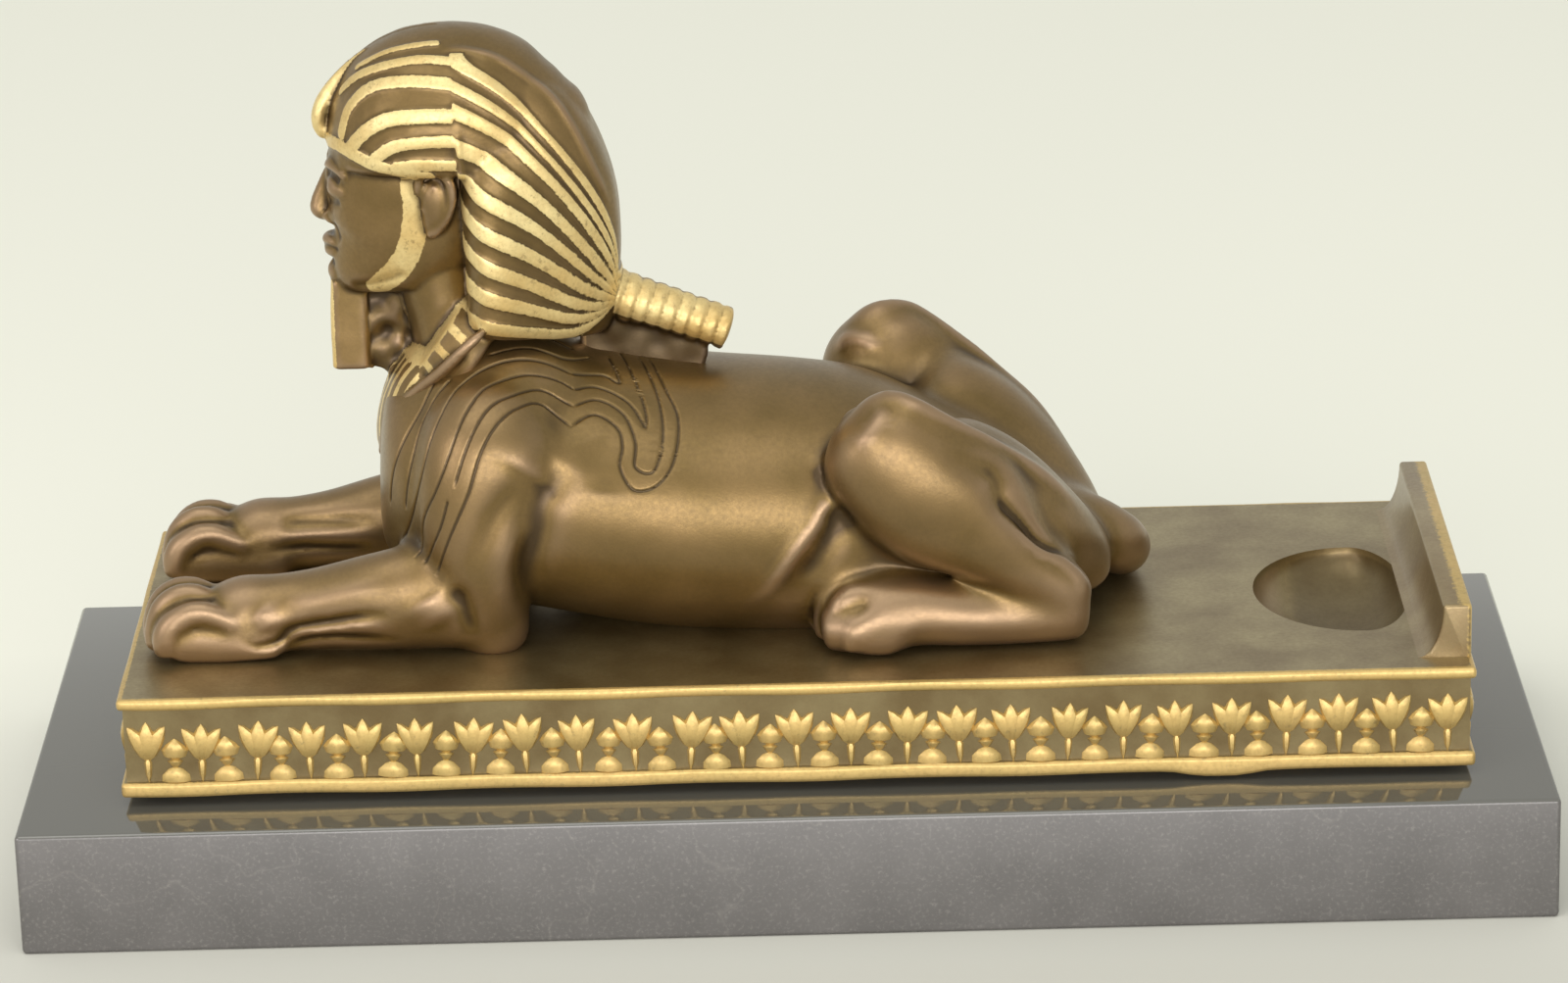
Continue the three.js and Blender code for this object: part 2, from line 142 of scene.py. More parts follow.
def mesh_object(name, bm):
    mesh = bpy.data.meshes.new(name)
    bm.to_mesh(mesh)
    bm.free()
    made = bpy.data.objects.new(name, mesh)
    bpy.context.scene.collection.objects.link(made)
    return made


def with_modifier(made, kind, **settings):
    """Gives the piece a modifier and keeps the mesh that it leaves."""
    modifier = made.modifiers.new(kind.title(), kind)
    for key, value in settings.items():
        setattr(modifier, key, value)
    ready = bpy.context.evaluated_depsgraph_get()
    mesh = bpy.data.meshes.new_from_object(made.evaluated_get(ready))
    made.modifiers.clear()
    made.data = mesh
    return made


def read(items, name, width, kind=np.float32):
    flat = np.zeros(len(items) * width, kind)
    items.foreach_get(name, flat)
    return flat.reshape(-1, width)


def points_of(mesh):
    return read(mesh.vertices, "co", 3).astype(float)


def normals_of(mesh):
    return read(mesh.vertices, "normal", 3).astype(float)


def edges_of(mesh):
    return read(mesh.edges, "vertices", 2, np.int32)


def set_points(mesh, points):
    mesh.vertices.foreach_set("co", points.astype(np.float32).ravel())
    mesh.update()


def smoothed(points, edges, share, rounds):
    """Moves each point towards the middle of its neighbours, by its share, some rounds over."""
    count = len(points)
    one, two = edges[:, 0], edges[:, 1]
    degree = np.bincount(edges.ravel(), minlength=count)[:, None]
    share = np.broadcast_to(np.asarray(share, float), count)[:, None]
    for _ in range(rounds):
        total = np.stack(
            [
                np.bincount(one, points[two, k], count) + np.bincount(two, points[one, k], count)
                for k in range(points.shape[1])
            ],
            axis=1,
        )
        points = points + share * (total / degree - points)
    return points


def laid_path(tree, points, step=0.6):
    """A smooth path through the points, laid on the surface."""
    rows = np.array(points, float)
    length = np.linalg.norm(np.diff(rows, axis=0), axis=1).sum()
    count = max(int(length / step), 4)
    path = [along(rows, k / count) for k in range(count + 1)]
    return np.array([tree.find_nearest(Vector(p))[0] for p in path])


def distance_to(points, path, reach):
    """How far each point is from the path, and how far along the path its foot is, from 0 to 1."""
    far = np.full(len(points), 1e3)
    share = np.zeros(len(points))
    low, high = path.min(0) - reach, path.max(0) + reach
    near = np.nonzero(((points > low) & (points < high)).all(1))[0]
    spot = points[near]
    best = far[near]
    where = share[near]
    for k in range(len(path) - 1):
        run = path[k + 1] - path[k]
        t = np.clip(((spot - path[k]) @ run) / max(run @ run, 1e-9), 0, 1)
        gap = np.linalg.norm(spot - path[k] - t[:, None] * run, axis=1)
        closer = gap < best
        best = np.where(closer, gap, best)
        where = np.where(closer, (k + t) / (len(path) - 1), where)
    far[near] = best
    share[near] = where
    return far, share


def smooth_step(low, high, value):
    t = np.clip((value - low) / (high - low), 0, 1)
    return t * t * (3 - 2 * t)


def stroke(points, tree, path, width, rise, ends, step=0.6):
    """How far a stroke along the path lifts each point. It fades in over that share at each end."""
    far, share = distance_to(points, laid_path(tree, path, step), 3 * width)
    fade = smooth_step(0, ends, share) * smooth_step(1, 1 - ends, share)
    return rise * fade * np.exp(-((far / width) ** 2))


def both_sides(paths):
    """Each path and its mirror image."""
    return [side for path in paths for side in (path, [(x, -y, z) for x, y, z in path])]


def tree_of(mesh, points):
    return BVHTree.FromPolygons(points.tolist(), [tuple(p.vertices) for p in mesh.polygons])


def proud_of_surroundings(points, normals, edges, rounds=14):
    """How far each point stands proud of its smoothed surroundings, in millimetres."""
    return ((points - smoothed(points, edges, 0.6, rounds)) * normals).sum(1)


def carried(values, old_points, new_points):
    """The values of the nearest old points."""
    tree = KDTree(len(old_points))
    for k, place in enumerate(old_points.tolist()):
        tree.insert(place, k)
    tree.balance()
    return values[[tree.find(place)[1] for place in new_points.tolist()]]


NO_GILT = -3.0


def keep_fields(made, gilt, relief=0.0, cut_lines_and_shade=0.0):
    """Stores how far inside its gilding, how proud and how deeply cut each point is; the last two also
    carry painted light and shade.
    """
    for name, values in (("gilt", gilt), ("relief", relief), ("cut_lines_and_shade", cut_lines_and_shade)):
        field = made.data.attributes.new(name, "FLOAT", "POINT")
        all_values = np.broadcast_to(values, len(made.data.vertices))
        field.data.foreach_set("value", all_values.astype(np.float32))


# The sphinx's body, in millimetres from the middle of its foot, with its head towards -X.


def toes(bm, tip, y, spacing, high, length, rise, slant, pad=3.4):
    """Four toes side by side on each foot, the first of them outermost, each a bent finger over a
    sole. Inward each starts a slant further forward and stands a rise higher."""
    for side in (1, -1):
        for inward in range(4):
            outer = inward % 3 == 0
            end = tip + (3 - inward) * slant + (1.2 if outer else 0)
            top = high + inward * rise - (2.2 if outer else 0)
            at = side * (y + (1.5 - inward) * spacing)
            finger = [
                [end + length * 2.4, at, top * 0.5, 2, 2.4],
                [end + length * 1.3, at, top - 2.7, 2.1, 2.7],
                [end + length * 0.6, at, top - 4.6, 2.4, 3],
                [end + 2.6, at, 5, 2.5, 3.1], [end + 2.2, at, 1, 2, 2.2],
            ]
            sole = [
                [end + length * pad, at, 2.6, 2.2, 3.2], [end + length * 1.2, at, 4, 2.1, 4.2],
                [end + 3.2, at, 3, 2, 3.2],
            ]
            form(bm, finger, sides=20, rings=24)
            form(bm, sole, sides=16, rings=10)


def body_forms():
    bm = bmesh.new()
    # The trunk, from the chest to the rump.
    form(bm, [
        [-79.8, 0, 29.5, 11, 14], [-77, 0, 29.5, 19, 18.5], [-70.5, 0, 30, 26, 23.5],
        [-57, 0, 30.5, 30.5, 26.5], [-42, 0, 28, 32, 27], [-20, 0, 24, 32, 27.3],
        [2, 0, 22, 31, 27.2], [15, 0, 20.5, 29, 26], [32, 0, 16, 25, 20], [48, 0, 12, 19, 14],
        [62, 0, 7, 10, 10],
    ], sides=72, rings=72, round=0.05)
    # The root of the neck.
    form(bm, [
        [-74, 0, 42, 14, 11], [-64, 0, 44, 23, 15], [-51, 0, 45, 25, 16], [-40, 0, 44, 20, 12],
        [-30, 0, 44, 12, 8],
    ])
    # The shoulders and upper forelegs.
    pair(bm, [
        [-53, 13, 50, 9, 11], [-56, 21, 41, 11.5, 14.5], [-59, 25, 28, 9.4, 12.5],
        [-59, 25.5, 17, 7.5, 9.5], [-57.5, 24.4, 8, 6.3, 7.5], [-56.5, 23.6, -2, 5.4, 7],
    ])
    # The forearms and forepaws.
    pair(bm, [
        [-52, 24, 9, 6, 7], [-60, 24.3, 10.5, 7.5, 10], [-70, 24, 11.2, 8, 11],
        [-81, 23.5, 10, 7.8, 10], [-92, 22.8, 8.6, 7.2, 8.5], [-101, 22.4, 7.8, 7, 8],
        [-106, 22.4, 7.8, 7.2, 8], [-112, 22.4, 6.4, 7.5, 6.8], [-119, 22.4, 5.4, 7.8, 5.6],
    ], round=0.06)
    toes(bm, -127.6, 22.4, 4, 15.2, 7.8, 0, 0.7)
    # The thighs, from the knee down to the hock.
    pair(bm, [
        [14, 27, 48.5, 5.5, 6.5], [18.5, 28, 43, 9.5, 12.3], [27.4, 28.5, 33.8, 10.8, 14.4],
        [37, 28, 26.8, 10, 13.8], [47, 28.5, 17.5, 7.5, 7.8], [56, 28.5, 11.5, 5.6, 5.2],
        [60, 28, 8, 4.6, 4.6],
    ], round=0.14)
    # The rump on either side of the tail.
    pair(bm, [
        [27, 19, 36, 11, 11.5], [40, 18, 29, 12.5, 12], [51, 15, 20, 11.5, 10], [58, 10, 12, 8.5, 8],
        [61, 7, 5, 7, 6],
    ])
    # The hind feet, from the hock forward.
    pair(bm, [
        [61, 28, 6, 4.6, 6], [52, 28.5, 6, 5.6, 6], [37, 29, 6.4, 6.5, 6.4], [24, 29, 8, 7.4, 7.4],
        [16, 29, 8, 7.6, 7],
    ])
    toes(bm, 4.4, 29.2, 3.9, 13, 6.6, 1.6, 2, pad=1.8)
    # Flesh that joins the hind toes.
    pair(bm, [
        [8, 29, 4.5, 5, 4.5], [14, 30.4, 5.2, 6.3, 5.2], [19, 30.8, 5, 6.2, 5],
        [26, 30.8, 4.5, 5, 4.5],
    ])
    # The kneecaps.
    pair(bm, [[16, 28, 47, 3.2, 3], [21, 28.4, 50.4, 3.6, 3], [29, 30, 48, 3, 2.6]])
    # Flesh between the haunches.
    form(bm, [
        [8, 0, 23, 22, 22], [20, 0, 22, 26, 20.5], [32, 0, 19, 25, 18.5], [44, 0, 14, 22, 15],
        [54, 0, 9, 16, 11], [60, 0, 6, 10, 8],
    ])
    # The tail, laid round the right haunch.
    form(bm, [
        [54, 0, 19, 6, 5], [62, 0.5, 14.5, 6.5, 6], [68, 2.5, 9, 6.4, 6.6], [68.5, 11, 5.6, 6, 5.8],
        [66, 24, 4.4, 4.6, 4.4], [58, 35, 3.8, 4, 3.8], [44, 40, 3.4, 3.6, 3.4],
        [28, 41.5, 3.4, 3.6, 3.4], [18, 41.5, 3.6, 4.2, 3.8], [10, 41, 3, 2.4, 2.6],
    ], rings=72, round=0.06)
    return bm


# Fine lines cut into the shoulder and chest, each a few points near the surface of the left side.
SHOULDER_LINES = [
    [(-67.5, -30, 18), (-64.5, -32.5, 26.5), (-60.5, -32.5, 35.5), (-58, -31.5, 43),
     (-55, -28.5, 47.5), (-51, -25.5, 50), (-46.5, -22, 49.5), (-40.5, -23.5, 45.5)],
    [(-40.5, -23.5, 45.5), (-36, -21, 47), (-31.5, -23, 45), (-30.5, -25.5, 42), (-31, -28, 38.5),
     (-28.5, -30, 34.5), (-24, -29.5, 35), (-20.5, -26.5, 39), (-19.5, -20, 45.5), (-22, -13, 50),
     (-25.5, -1.5, 53)],
    [(-69.5, -28, 19.5), (-66.5, -32, 28), (-64.5, -32, 34)],
    [(-63, -32, 37), (-60, -30, 45), (-56.5, -26.5, 50), (-52.5, -24.5, 52.5), (-46.5, -20, 52),
     (-40, -20, 48.5)],
    [(-40, -20, 48.5), (-35.5, -18, 49), (-30.5, -20, 46.5), (-28, -24.5, 42.5), (-28, -28, 38.5),
     (-24.5, -28, 37.5), (-22.5, -24, 43), (-23.5, -15.5, 48.5), (-27.5, -2, 52.5)],
    [(-71.5, -27, 20), (-69.5, -28.5, 28), (-66.5, -30.5, 36), (-64, -30.5, 43), (-60, -26, 50),
     (-56, -21.5, 53), (-50, -18.5, 54.5), (-43.5, -16.5, 52.5), (-40, -16.5, 50.5)],
    [(-40, -16.5, 50.5), (-35.5, -15, 50.5), (-29.5, -17.5, 48), (-26, -22.5, 44.5)],
    [(-26, -22.5, 44.5), (-26, -19, 46.5), (-29, -8.5, 51.5), (-31, -1.5, 54)],
    [(-74, -20, 21.5), (-71.5, -25, 30), (-69, -27, 38), (-65.5, -25, 47), (-61, -19.5, 53),
     (-56, -16.5, 55.5), (-49, -15, 56.5), (-40.5, -13.5, 53)],
    [(-40.5, -13.5, 53), (-34.5, -11.5, 52), (-31, -13, 51), (-33.5, -4.5, 53)],
    [(-73.5, -23, 29.5), (-71, -22.5, 40), (-68.5, -20, 47), (-63.5, -17, 53)],
    [(-56.5, -14, 57), (-49, -12, 58), (-42, -11, 55.5), (-37, -6.5, 54)],
    [(-76.5, -18.5, 29), (-74, -19.5, 39.5), (-70, -18, 47), (-67, -16, 53)],
    [(-47, -6.5, 58.5), (-43, -6.5, 56.5), (-39.5, -6.5, 57)],
]

# Raised and sunk lines of the muscles and skin. Each has points on the left side, a half width and
# a height, which is under 0 for a sunk line.
BODY_FOLDS = [
    ([(-41, -28.5, 39.5), (-43, -29.5, 37), (-46.5, -30.5, 32.5), (-47.5, -31, 27),
      (-50, -29, 19.5), (-51.5, -27.5, 10)], 2.9, -1.1),
    ([(-49, -31.5, 37), (-52.5, -31.5, 35), (-56, -33.5, 30.5), (-59, -33.5, 24),
      (-62.5, -32, 17.5)], 2.7, -0.6),
    ([(-51, -31, 30.5), (-54, -32, 23), (-55, -31, 15.5), (-54.5, -29.5, 6)], 3.2, 0.7),
    ([(-44.5, -23.5, 46.5), (-48, -29.5, 41), (-50, -31, 38)], 5.5, 0.7),
    ([(-37, -25, 44), (-34, -28, 38), (-34, -29, 33)], 4.2, -0.45),
    ([(-70.5, -31, 14), (-69, -31.5, 11.5), (-67, -31.5, 7.5)], 3.8, 0.7),
    ([(-65, -31, 16.5), (-62.5, -31.5, 11.5), (-61, -30, 4)], 1.9, -0.9),
    ([(-74, -30, 4.5), (-82.5, -29.5, 5), (-90.5, -29, 5), (-95.5, -28.5, 4),
      (-99, -28, 2.5)], 0.9, -0.9),
    ([(-75, -31.5, 10.5), (-82, -31, 10), (-89, -30.5, 8.5), (-96.5, -29.5, 7), (-99.5, -28, 4.5),
      (-104, -28, 3.5), (-108, -29, 6)], 0.95, -1),
    ([(-75, -31, 7.5), (-84, -30.5, 7.5), (-91, -29.5, 6.5), (-96.5, -29, 5.5)], 0.9, 0.5),
    ([(-76.5, -29.5, 16.5), (-89, -29, 13.5), (-98.5, -28.5, 11.5)], 2.2, 0.5),
    ([(-103.5, -28.5, 11.5), (-101.5, -29, 9), (-100.5, -29, 6.5)], 2.6, 0.7),
    ([(-103, -17, 12), (-98.5, -17, 12.5), (-90, -17, 12.5), (-80, -16.5, 12.5)], 1.7, -0.75),
    ([(-105.5, -15.5, 7), (-97.5, -16, 7.5), (-89, -16.5, 7), (-82.5, -16.5, 7.5)], 1.2, -0.9),
    ([(18, -28, 53), (22.5, -28.5, 51.5), (27, -30.5, 50), (33, -30, 46.5), (40.5, -27, 41.5),
      (49.5, -22.5, 33), (56, -19.5, 27), (60, -17.5, 21)], 2, 1.4),
    ([(30, -35.5, 44), (39, -34.5, 39.5), (42, -33.5, 36.5), (44, -35, 32), (49, -33, 25),
      (54.5, -30, 20)], 2.7, -1.2),
    ([(42.5, -35, 33.5), (44, -35, 31), (46.5, -34, 28), (52, -32, 22), (56, -29, 18.5)], 1.1, -2.8),
    ([(45.5, -35.5, 27.5), (52, -32.5, 21), (58, -31.5, 15.5), (60.5, -31, 9)], 1.5, 1),
    ([(21.5, -31, 51), (19, -34.5, 47.5), (15, -35.5, 43.5)], 1.7, 0.5),
    ([(11.5, -25, 37), (10, -26.5, 33), (7.5, -29, 27), (2.5, -30.5, 20.5), (-2.5, -29.5, 13.5),
      (-8, -27, 7)], 1.8, 0.9),
    ([(13, -27.5, 32), (12, -28, 28), (9, -29.5, 22), (5, -29, 16), (1, -26.5, 9)], 3, -1.3),
    ([(7.5, -24, 37), (9, -26.5, 33.5), (11, -28, 29)], 1.6, -0.6),
    ([(11.5, -24, 43), (13.5, -24, 46), (16, -23, 47), (19, -21, 47), (21, -20, 44.5)], 1.8, 1),
]


BODY_VOXEL = 0.55
BODY_FIRST_SHARE = 0.36
BODY_LAST_SHARE = 0.44
CUT_DEPTH = 0.3
CUT_HALF_WIDTH = 0.32
FINER_WITHIN = (1.4, 0.95, 0.6)


def calmed(points, edges):
    """Smooths the joins of the forms, most between the haunches and least at the paws. Gives the new
    points and how much each belongs to a paw."""
    x, y, z = points.T
    forepaws = smooth_step(-100, -112, x) * smooth_step(20, 16, z)
    hind_paws = smooth_step(19, 11, x) * smooth_step(16, 11, z)
    hind_paws = hind_paws * smooth_step(18, 22, np.abs(y)) * smooth_step(-6, 0, x)
    paws = np.maximum(forepaws, hind_paws)
    points = smoothed(points, edges, 0.5, 8)
    points = smoothed(points, edges, 0.6 * (1 - paws), 46)
    x, y, z = points.T
    between = smooth_step(12, 19, x) * smooth_step(24, 19, np.abs(y))
    points = smoothed(points, edges, 0.6 * between * smooth_step(16, 24, z), 90)
    x, y, z = points.T
    under_thigh = smooth_step(16, 22, x) * smooth_step(23, 19, z) * smooth_step(7, 10, z)
    return smoothed(points, edges, 0.6 * under_thigh, 25), paws


def refined(mesh, paths):
    """Halves the edges near the cut lines, some times over, each time closer to them."""
    for reach in FINER_WITHIN:
        points = points_of(mesh)
        near = np.zeros(len(points), bool)
        for path in paths:
            near |= distance_to(points, path, 2)[0] < reach
        bm = bmesh.new()
        bm.from_mesh(mesh)
        chosen = [e for e in bm.edges if near[e.verts[0].index] or near[e.verts[1].index]]
        bmesh.ops.subdivide_edges(bm, edges=chosen, cuts=1, use_grid_fill=True)
        bmesh.ops.triangulate(bm, faces=bm.faces[:])
        bm.to_mesh(mesh)
        bm.free()


def body():
    made = mesh_object("sphinx_body", body_forms())
    with_modifier(made, "REMESH", mode="VOXEL", voxel_size=BODY_VOXEL)
    mesh = made.data
    edges = edges_of(mesh)
    points, paws = calmed(points_of(mesh), edges)
    set_points(mesh, points)
    normals = normals_of(mesh)
    tree = tree_of(mesh, points)
    for path, width, height in BODY_FOLDS:
        for side in both_sides([path]):
            lift = stroke(points, tree, side, width, height, 0.35, 2.0)
            points = points + normals * lift[:, None]
    points = smoothed(points, edges, 0.5 * (1 - paws), 5)
    set_points(mesh, points)

    # Hands have rubbed the feet, most of all the hind ones, and whatever stands proud. The pale
    # tint there is also painted light on the low outer parts and painted highlight on what stands
    # proud.
    x, y, z = points.T
    rubbed_and_lit = smooth_step(19, 10, z) * smooth_step(14, 22, np.abs(y))
    rubbed_and_lit = rubbed_and_lit * (0.3 + 0.7 * smooth_step(-96, -106, x) + 0.9 * smooth_step(-8, 4, x))
    even_points = points
    even_relief = proud_of_surroundings(points, normals_of(mesh), edges, 20) + 0.09 * rubbed_and_lit

    mesh = with_modifier(made, "DECIMATE", ratio=BODY_FIRST_SHARE).data
    tree = tree_of(mesh, points_of(mesh))
    paths = [laid_path(tree, path) for path in both_sides(SHOULDER_LINES)]
    refined(mesh, paths)
    points = points_of(mesh)
    relief = carried(even_relief, even_points, points)
    cut = np.zeros(len(points))
    for path in paths:
        far, share = distance_to(points, path, 2)
        fade = smooth_step(0, 0.05, share) * smooth_step(1, 0.95, share)
        cut = np.maximum(cut, (0.35 + 0.65 * fade) * np.exp(-((far / CUT_HALF_WIDTH) ** 2)))
    set_points(mesh, points - normals_of(mesh) * (CUT_DEPTH * cut)[:, None])
    keep_fields(made, NO_GILT, relief, cut)
    with_modifier(made, "DECIMATE", ratio=BODY_LAST_SHARE)
    return in_place(flat_footed(made))


def flat_footed(made):
    """Cuts the figure off level with the tray and closes its underside."""
    bm = bmesh.new()
    bm.from_mesh(made.data)
    cut_through(bm, (0, 0, 0), (0, 0, -1), clear_outer=True)
    bmesh.ops.holes_fill(bm, edges=[e for e in bm.edges if e.is_boundary], sides=0)
    bmesh.ops.triangulate(bm, faces=[f for f in bm.faces if len(f.verts) > 4])
    bm.to_mesh(made.data)
    bm.free()
    return made


def in_place(made):
    """Sets a part of the figure on the tray, in metres."""
    made.data.transform(Matrix.Scale(MM, 4) @ Matrix.Translation(FIGURE_PLACE))
    return made


# Head, headcloth, queue, beard and collar, in the same millimetres as the body.

HEAD_VOXEL = 0.42
HEAD_SHARE = 0.84
FOLD_X = -60
QUEUE_TURNS = 9
QUEUE_SWELL = (-0.5, 0.25, 0.1, 0.35)
QUEUE_START = np.array([-33, 0, 66.0, 4.9, 4.8])
QUEUE_END = np.array([-9, 0, 57.3, 4.1, 4.0])

# Each form: 1 or 2 of it, how square its rings are, how much of each end is rounded, its stations.
HEAD_FORMS = {
    "face": [
        # The skull.
        (1, 2.3, 0.12, [[-77.5, 0, 67.5, 5, 7], [-77, 0, 71.5, 8.5, 10.8],
            [-73.6, 0, 78, 11.4, 14.8], [-71, 0, 86, 12.6, 17.2], [-69.6, 0, 95, 13, 17.2],
            [-68, 0, 104, 10, 13]]),
        # The neck.
        (1, 2, 0.12, [[-64, 0, 46, 14, 9], [-64.6, 0, 58, 10, 7.6], [-66, 0, 68, 9.5, 8.2],
            [-68, 0, 78, 9.5, 8.7]]),
        # The nose.
        (1, 2, 0.12, [[-85.8, 0, 93.8, 1.3, 1.5], [-87.6, 0, 89.4, 1.4, 1.9],
            [-89.0, 0, 86, 1.7, 2.0], [-89.4, 0, 84.2, 2.0, 1.7], [-87.0, 0, 83, 1.8, 1.3]]),
        # The nostrils.
        (2, 2, 0.2, [[-87.6, 1.6, 84.2, 1.2, 1.6], [-86.6, 3.0, 83.4, 1.3, 1.6],
            [-85.6, 3.2, 82.6, 1.0, 1.2]]),
        # The upper lip.
        (1, 2, 0.12, [[-84.6, -4.4, 77.7, 0.6, 0.7], [-87.2, -2.2, 78.3, 1.0, 1.1],
            [-88.2, 0, 78.3, 1.0, 1.1], [-87.2, 2.2, 78.3, 1.0, 1.1],
            [-84.6, 4.4, 77.7, 0.6, 0.7]]),
        # The lower lip.
        (1, 2, 0.12, [[-84.6, -4.2, 77.2, 0.6, 0.7], [-86.9, -2.1, 76.3, 1.1, 1.2],
            [-87.7, 0, 76.2, 1.2, 1.2], [-86.9, 2.1, 76.3, 1.1, 1.2],
            [-84.6, 4.2, 77.2, 0.6, 0.7]]),
        # The chin.
        (1, 2, 0.4, [[-84.8, -2.6, 71.8, 2.2, 2.2], [-85.8, 0, 71.8, 2.6, 2.7],
            [-84.8, 2.6, 71.8, 2.2, 2.2]]),
        # The brows.
        (2, 2, 0.12, [[-86.6, 1.2, 93.2, 1, 1.2], [-86.2, 5.4, 95, 1.2, 1.2],
            [-82.8, 10, 93.6, 1, 1]]),
        # The eyeballs.
        (2, 2, 0.3, [[-85.2, 3.2, 90.3, 1.1, 1.3], [-85.4, 5.8, 90.5, 1.9, 2.0],
            [-83.2, 8.6, 90.3, 1.1, 1.3]]),
        # The upper lids.
        (2, 2, 0.15, [[-86.4, 2.4, 89.9, 0.4, 0.4], [-87.0, 4.2, 91.8, 0.55, 0.5],
            [-86.2, 6.6, 92.0, 0.55, 0.5], [-83.8, 9.4, 90.0, 0.4, 0.4]]),
        # The lower lids.
        (2, 2, 0.15, [[-86.4, 2.4, 89.9, 0.4, 0.4], [-86.5, 4.4, 88.9, 0.4, 0.4],
            [-85.7, 6.8, 88.9, 0.4, 0.4], [-83.8, 9.4, 90.0, 0.4, 0.4]]),
    ],
    "ear": [
        (2, 2, 0.2, [[-66, 12, 94, 1.6, 2.4], [-65, 13.2, 91, 2.2, 3.6], [-65.4, 13, 86.5, 2.1, 3],
            [-66.8, 11.8, 82.5, 1.6, 1.8]]),
        # The rim of the ear.
        (2, 2, 0.12, [[-69.0, 13.4, 90.4, 0.7, 0.7], [-68.4, 14.2, 94.4, 0.8, 0.9],
            [-65.6, 15.0, 96.0, 0.9, 0.9], [-62.9, 15.4, 94.2, 1.0, 1.0],
            [-62.2, 15.2, 90.6, 0.9, 1.0], [-63.4, 14.4, 86.4, 0.8, 0.9],
            [-66.2, 13.2, 83.2, 1.2, 1.3], [-67.4, 12.6, 82.0, 0.9, 0.9]]),
        # The inner ridge of the ear.
        (2, 2, 0.12, [[-68.4, 13.6, 87.6, 0.7, 0.8], [-66.4, 14.3, 88.4, 0.5, 0.6],
            [-64.8, 14.8, 90.6, 0.5, 0.6], [-66.0, 14.8, 93.0, 0.5, 0.6]]),
    ],
    "cap": [
        (1, 2, 0.06, [[-61, 0, 94.2, 16.4, 26, 0.1], [-61.2, 0, 98, 17.4, 26.6, 0.15],
            [-62.4, 0, 105, 17.4, 24.6, 0.15], [-62.8, 0, 111, 15.6, 21.4, 0.1],
            [-62.8, 0, 116.5, 12.4, 16.4, 0], [-62.8, 0, 120, 7, 10, 0],
            [-62.8, 0, 121.6, 2, 3, 0]]),
    ],
    "bag": [
        (1, 4, 0.04, [[-46.5, 0, 59.4, 12.5, 12.5, 0.45], [-46, 0, 64, 14.6, 14.3, 0.5],
            [-45.2, 0, 75, 15.2, 15.2, 0.5], [-45.6, 0, 86, 15.6, 15.2, 0.45],
            [-47.6, 0, 96, 15.6, 13.8, 0.35], [-51, 0, 103.5, 14, 12, 0.2],
            [-55, 0, 110, 10, 8, 0]]),
    ],
    "cobra": [
        (1, 2, 0.12, [[-87, 0, 99, 1.4, 1.4], [-88.6, 0, 101.6, 2, 1.4],
            [-88.4, 0, 104.6, 2.4, 1.5], [-86.2, 0, 108.6, 1.4, 1.5], [-82, 0, 113, 1.2, 1.5],
            [-77, 0, 117, 1, 1.2]]),
    ],
    "beard": [
        (1, 6, 0.03, [[-84.3, 0, 70, 2.8, 3.5], [-84.4, 0, 64, 3.1, 3.8], [-84.5, 0, 57, 3.5, 3.8],
            [-84.5, 0, 51.6, 3.7, 3.8]]),
    ],
    "collar": [
        # The breast piece.
        (1, 2, 0.1, [[-78.4, 0, 34.6, 4.4, 2], [-77.6, 0, 40, 7.5, 2.6], [-75.3, 0, 46, 11, 3.4],
            [-71.5, 0, 51, 13, 4.5], [-66, 0, 56, 13, 5]]),
        # The ring round the neck.
        (1, 2, 0.12, [[-59.4, 0, 54.6, 17.4, 12.4], [-63.6, 0, 57.7, 17.4, 12.4],
            [-67.4, 0, 60.4, 13.6, 11.2]]),
    ],
    "rim": [
        (2, 2, 0.1, [[-79.2, 0.4, 33.9, 1.1, 1.1], [-78.8, 3.6, 35, 1.1, 1.1],
            [-78, 6.6, 39.5, 1.1, 1.1], [-75.8, 10, 45, 1.1, 1.1], [-72, 13.2, 49.6, 1.1, 1.1],
            [-65.8, 17.1, 55.6, 1.2, 1.2], [-61, 18.7, 60.6, 1.2, 1.2], [-57, 17.9, 64, 1.1, 1.1]]),
    ],
}
WEBS = {
    "queue_web": ([(-39, 64), (-33, 63), (-15, 57), (-13.5, 53), (-16, 46), (-39, 46)], 3.2),
    "beard_web": ([(-82.5, 69), (-70, 69), (-70, 48), (-77, 50.5), (-82.5, 52)], 4.4),
}
LABELS = [*HEAD_FORMS, "queue", *WEBS]

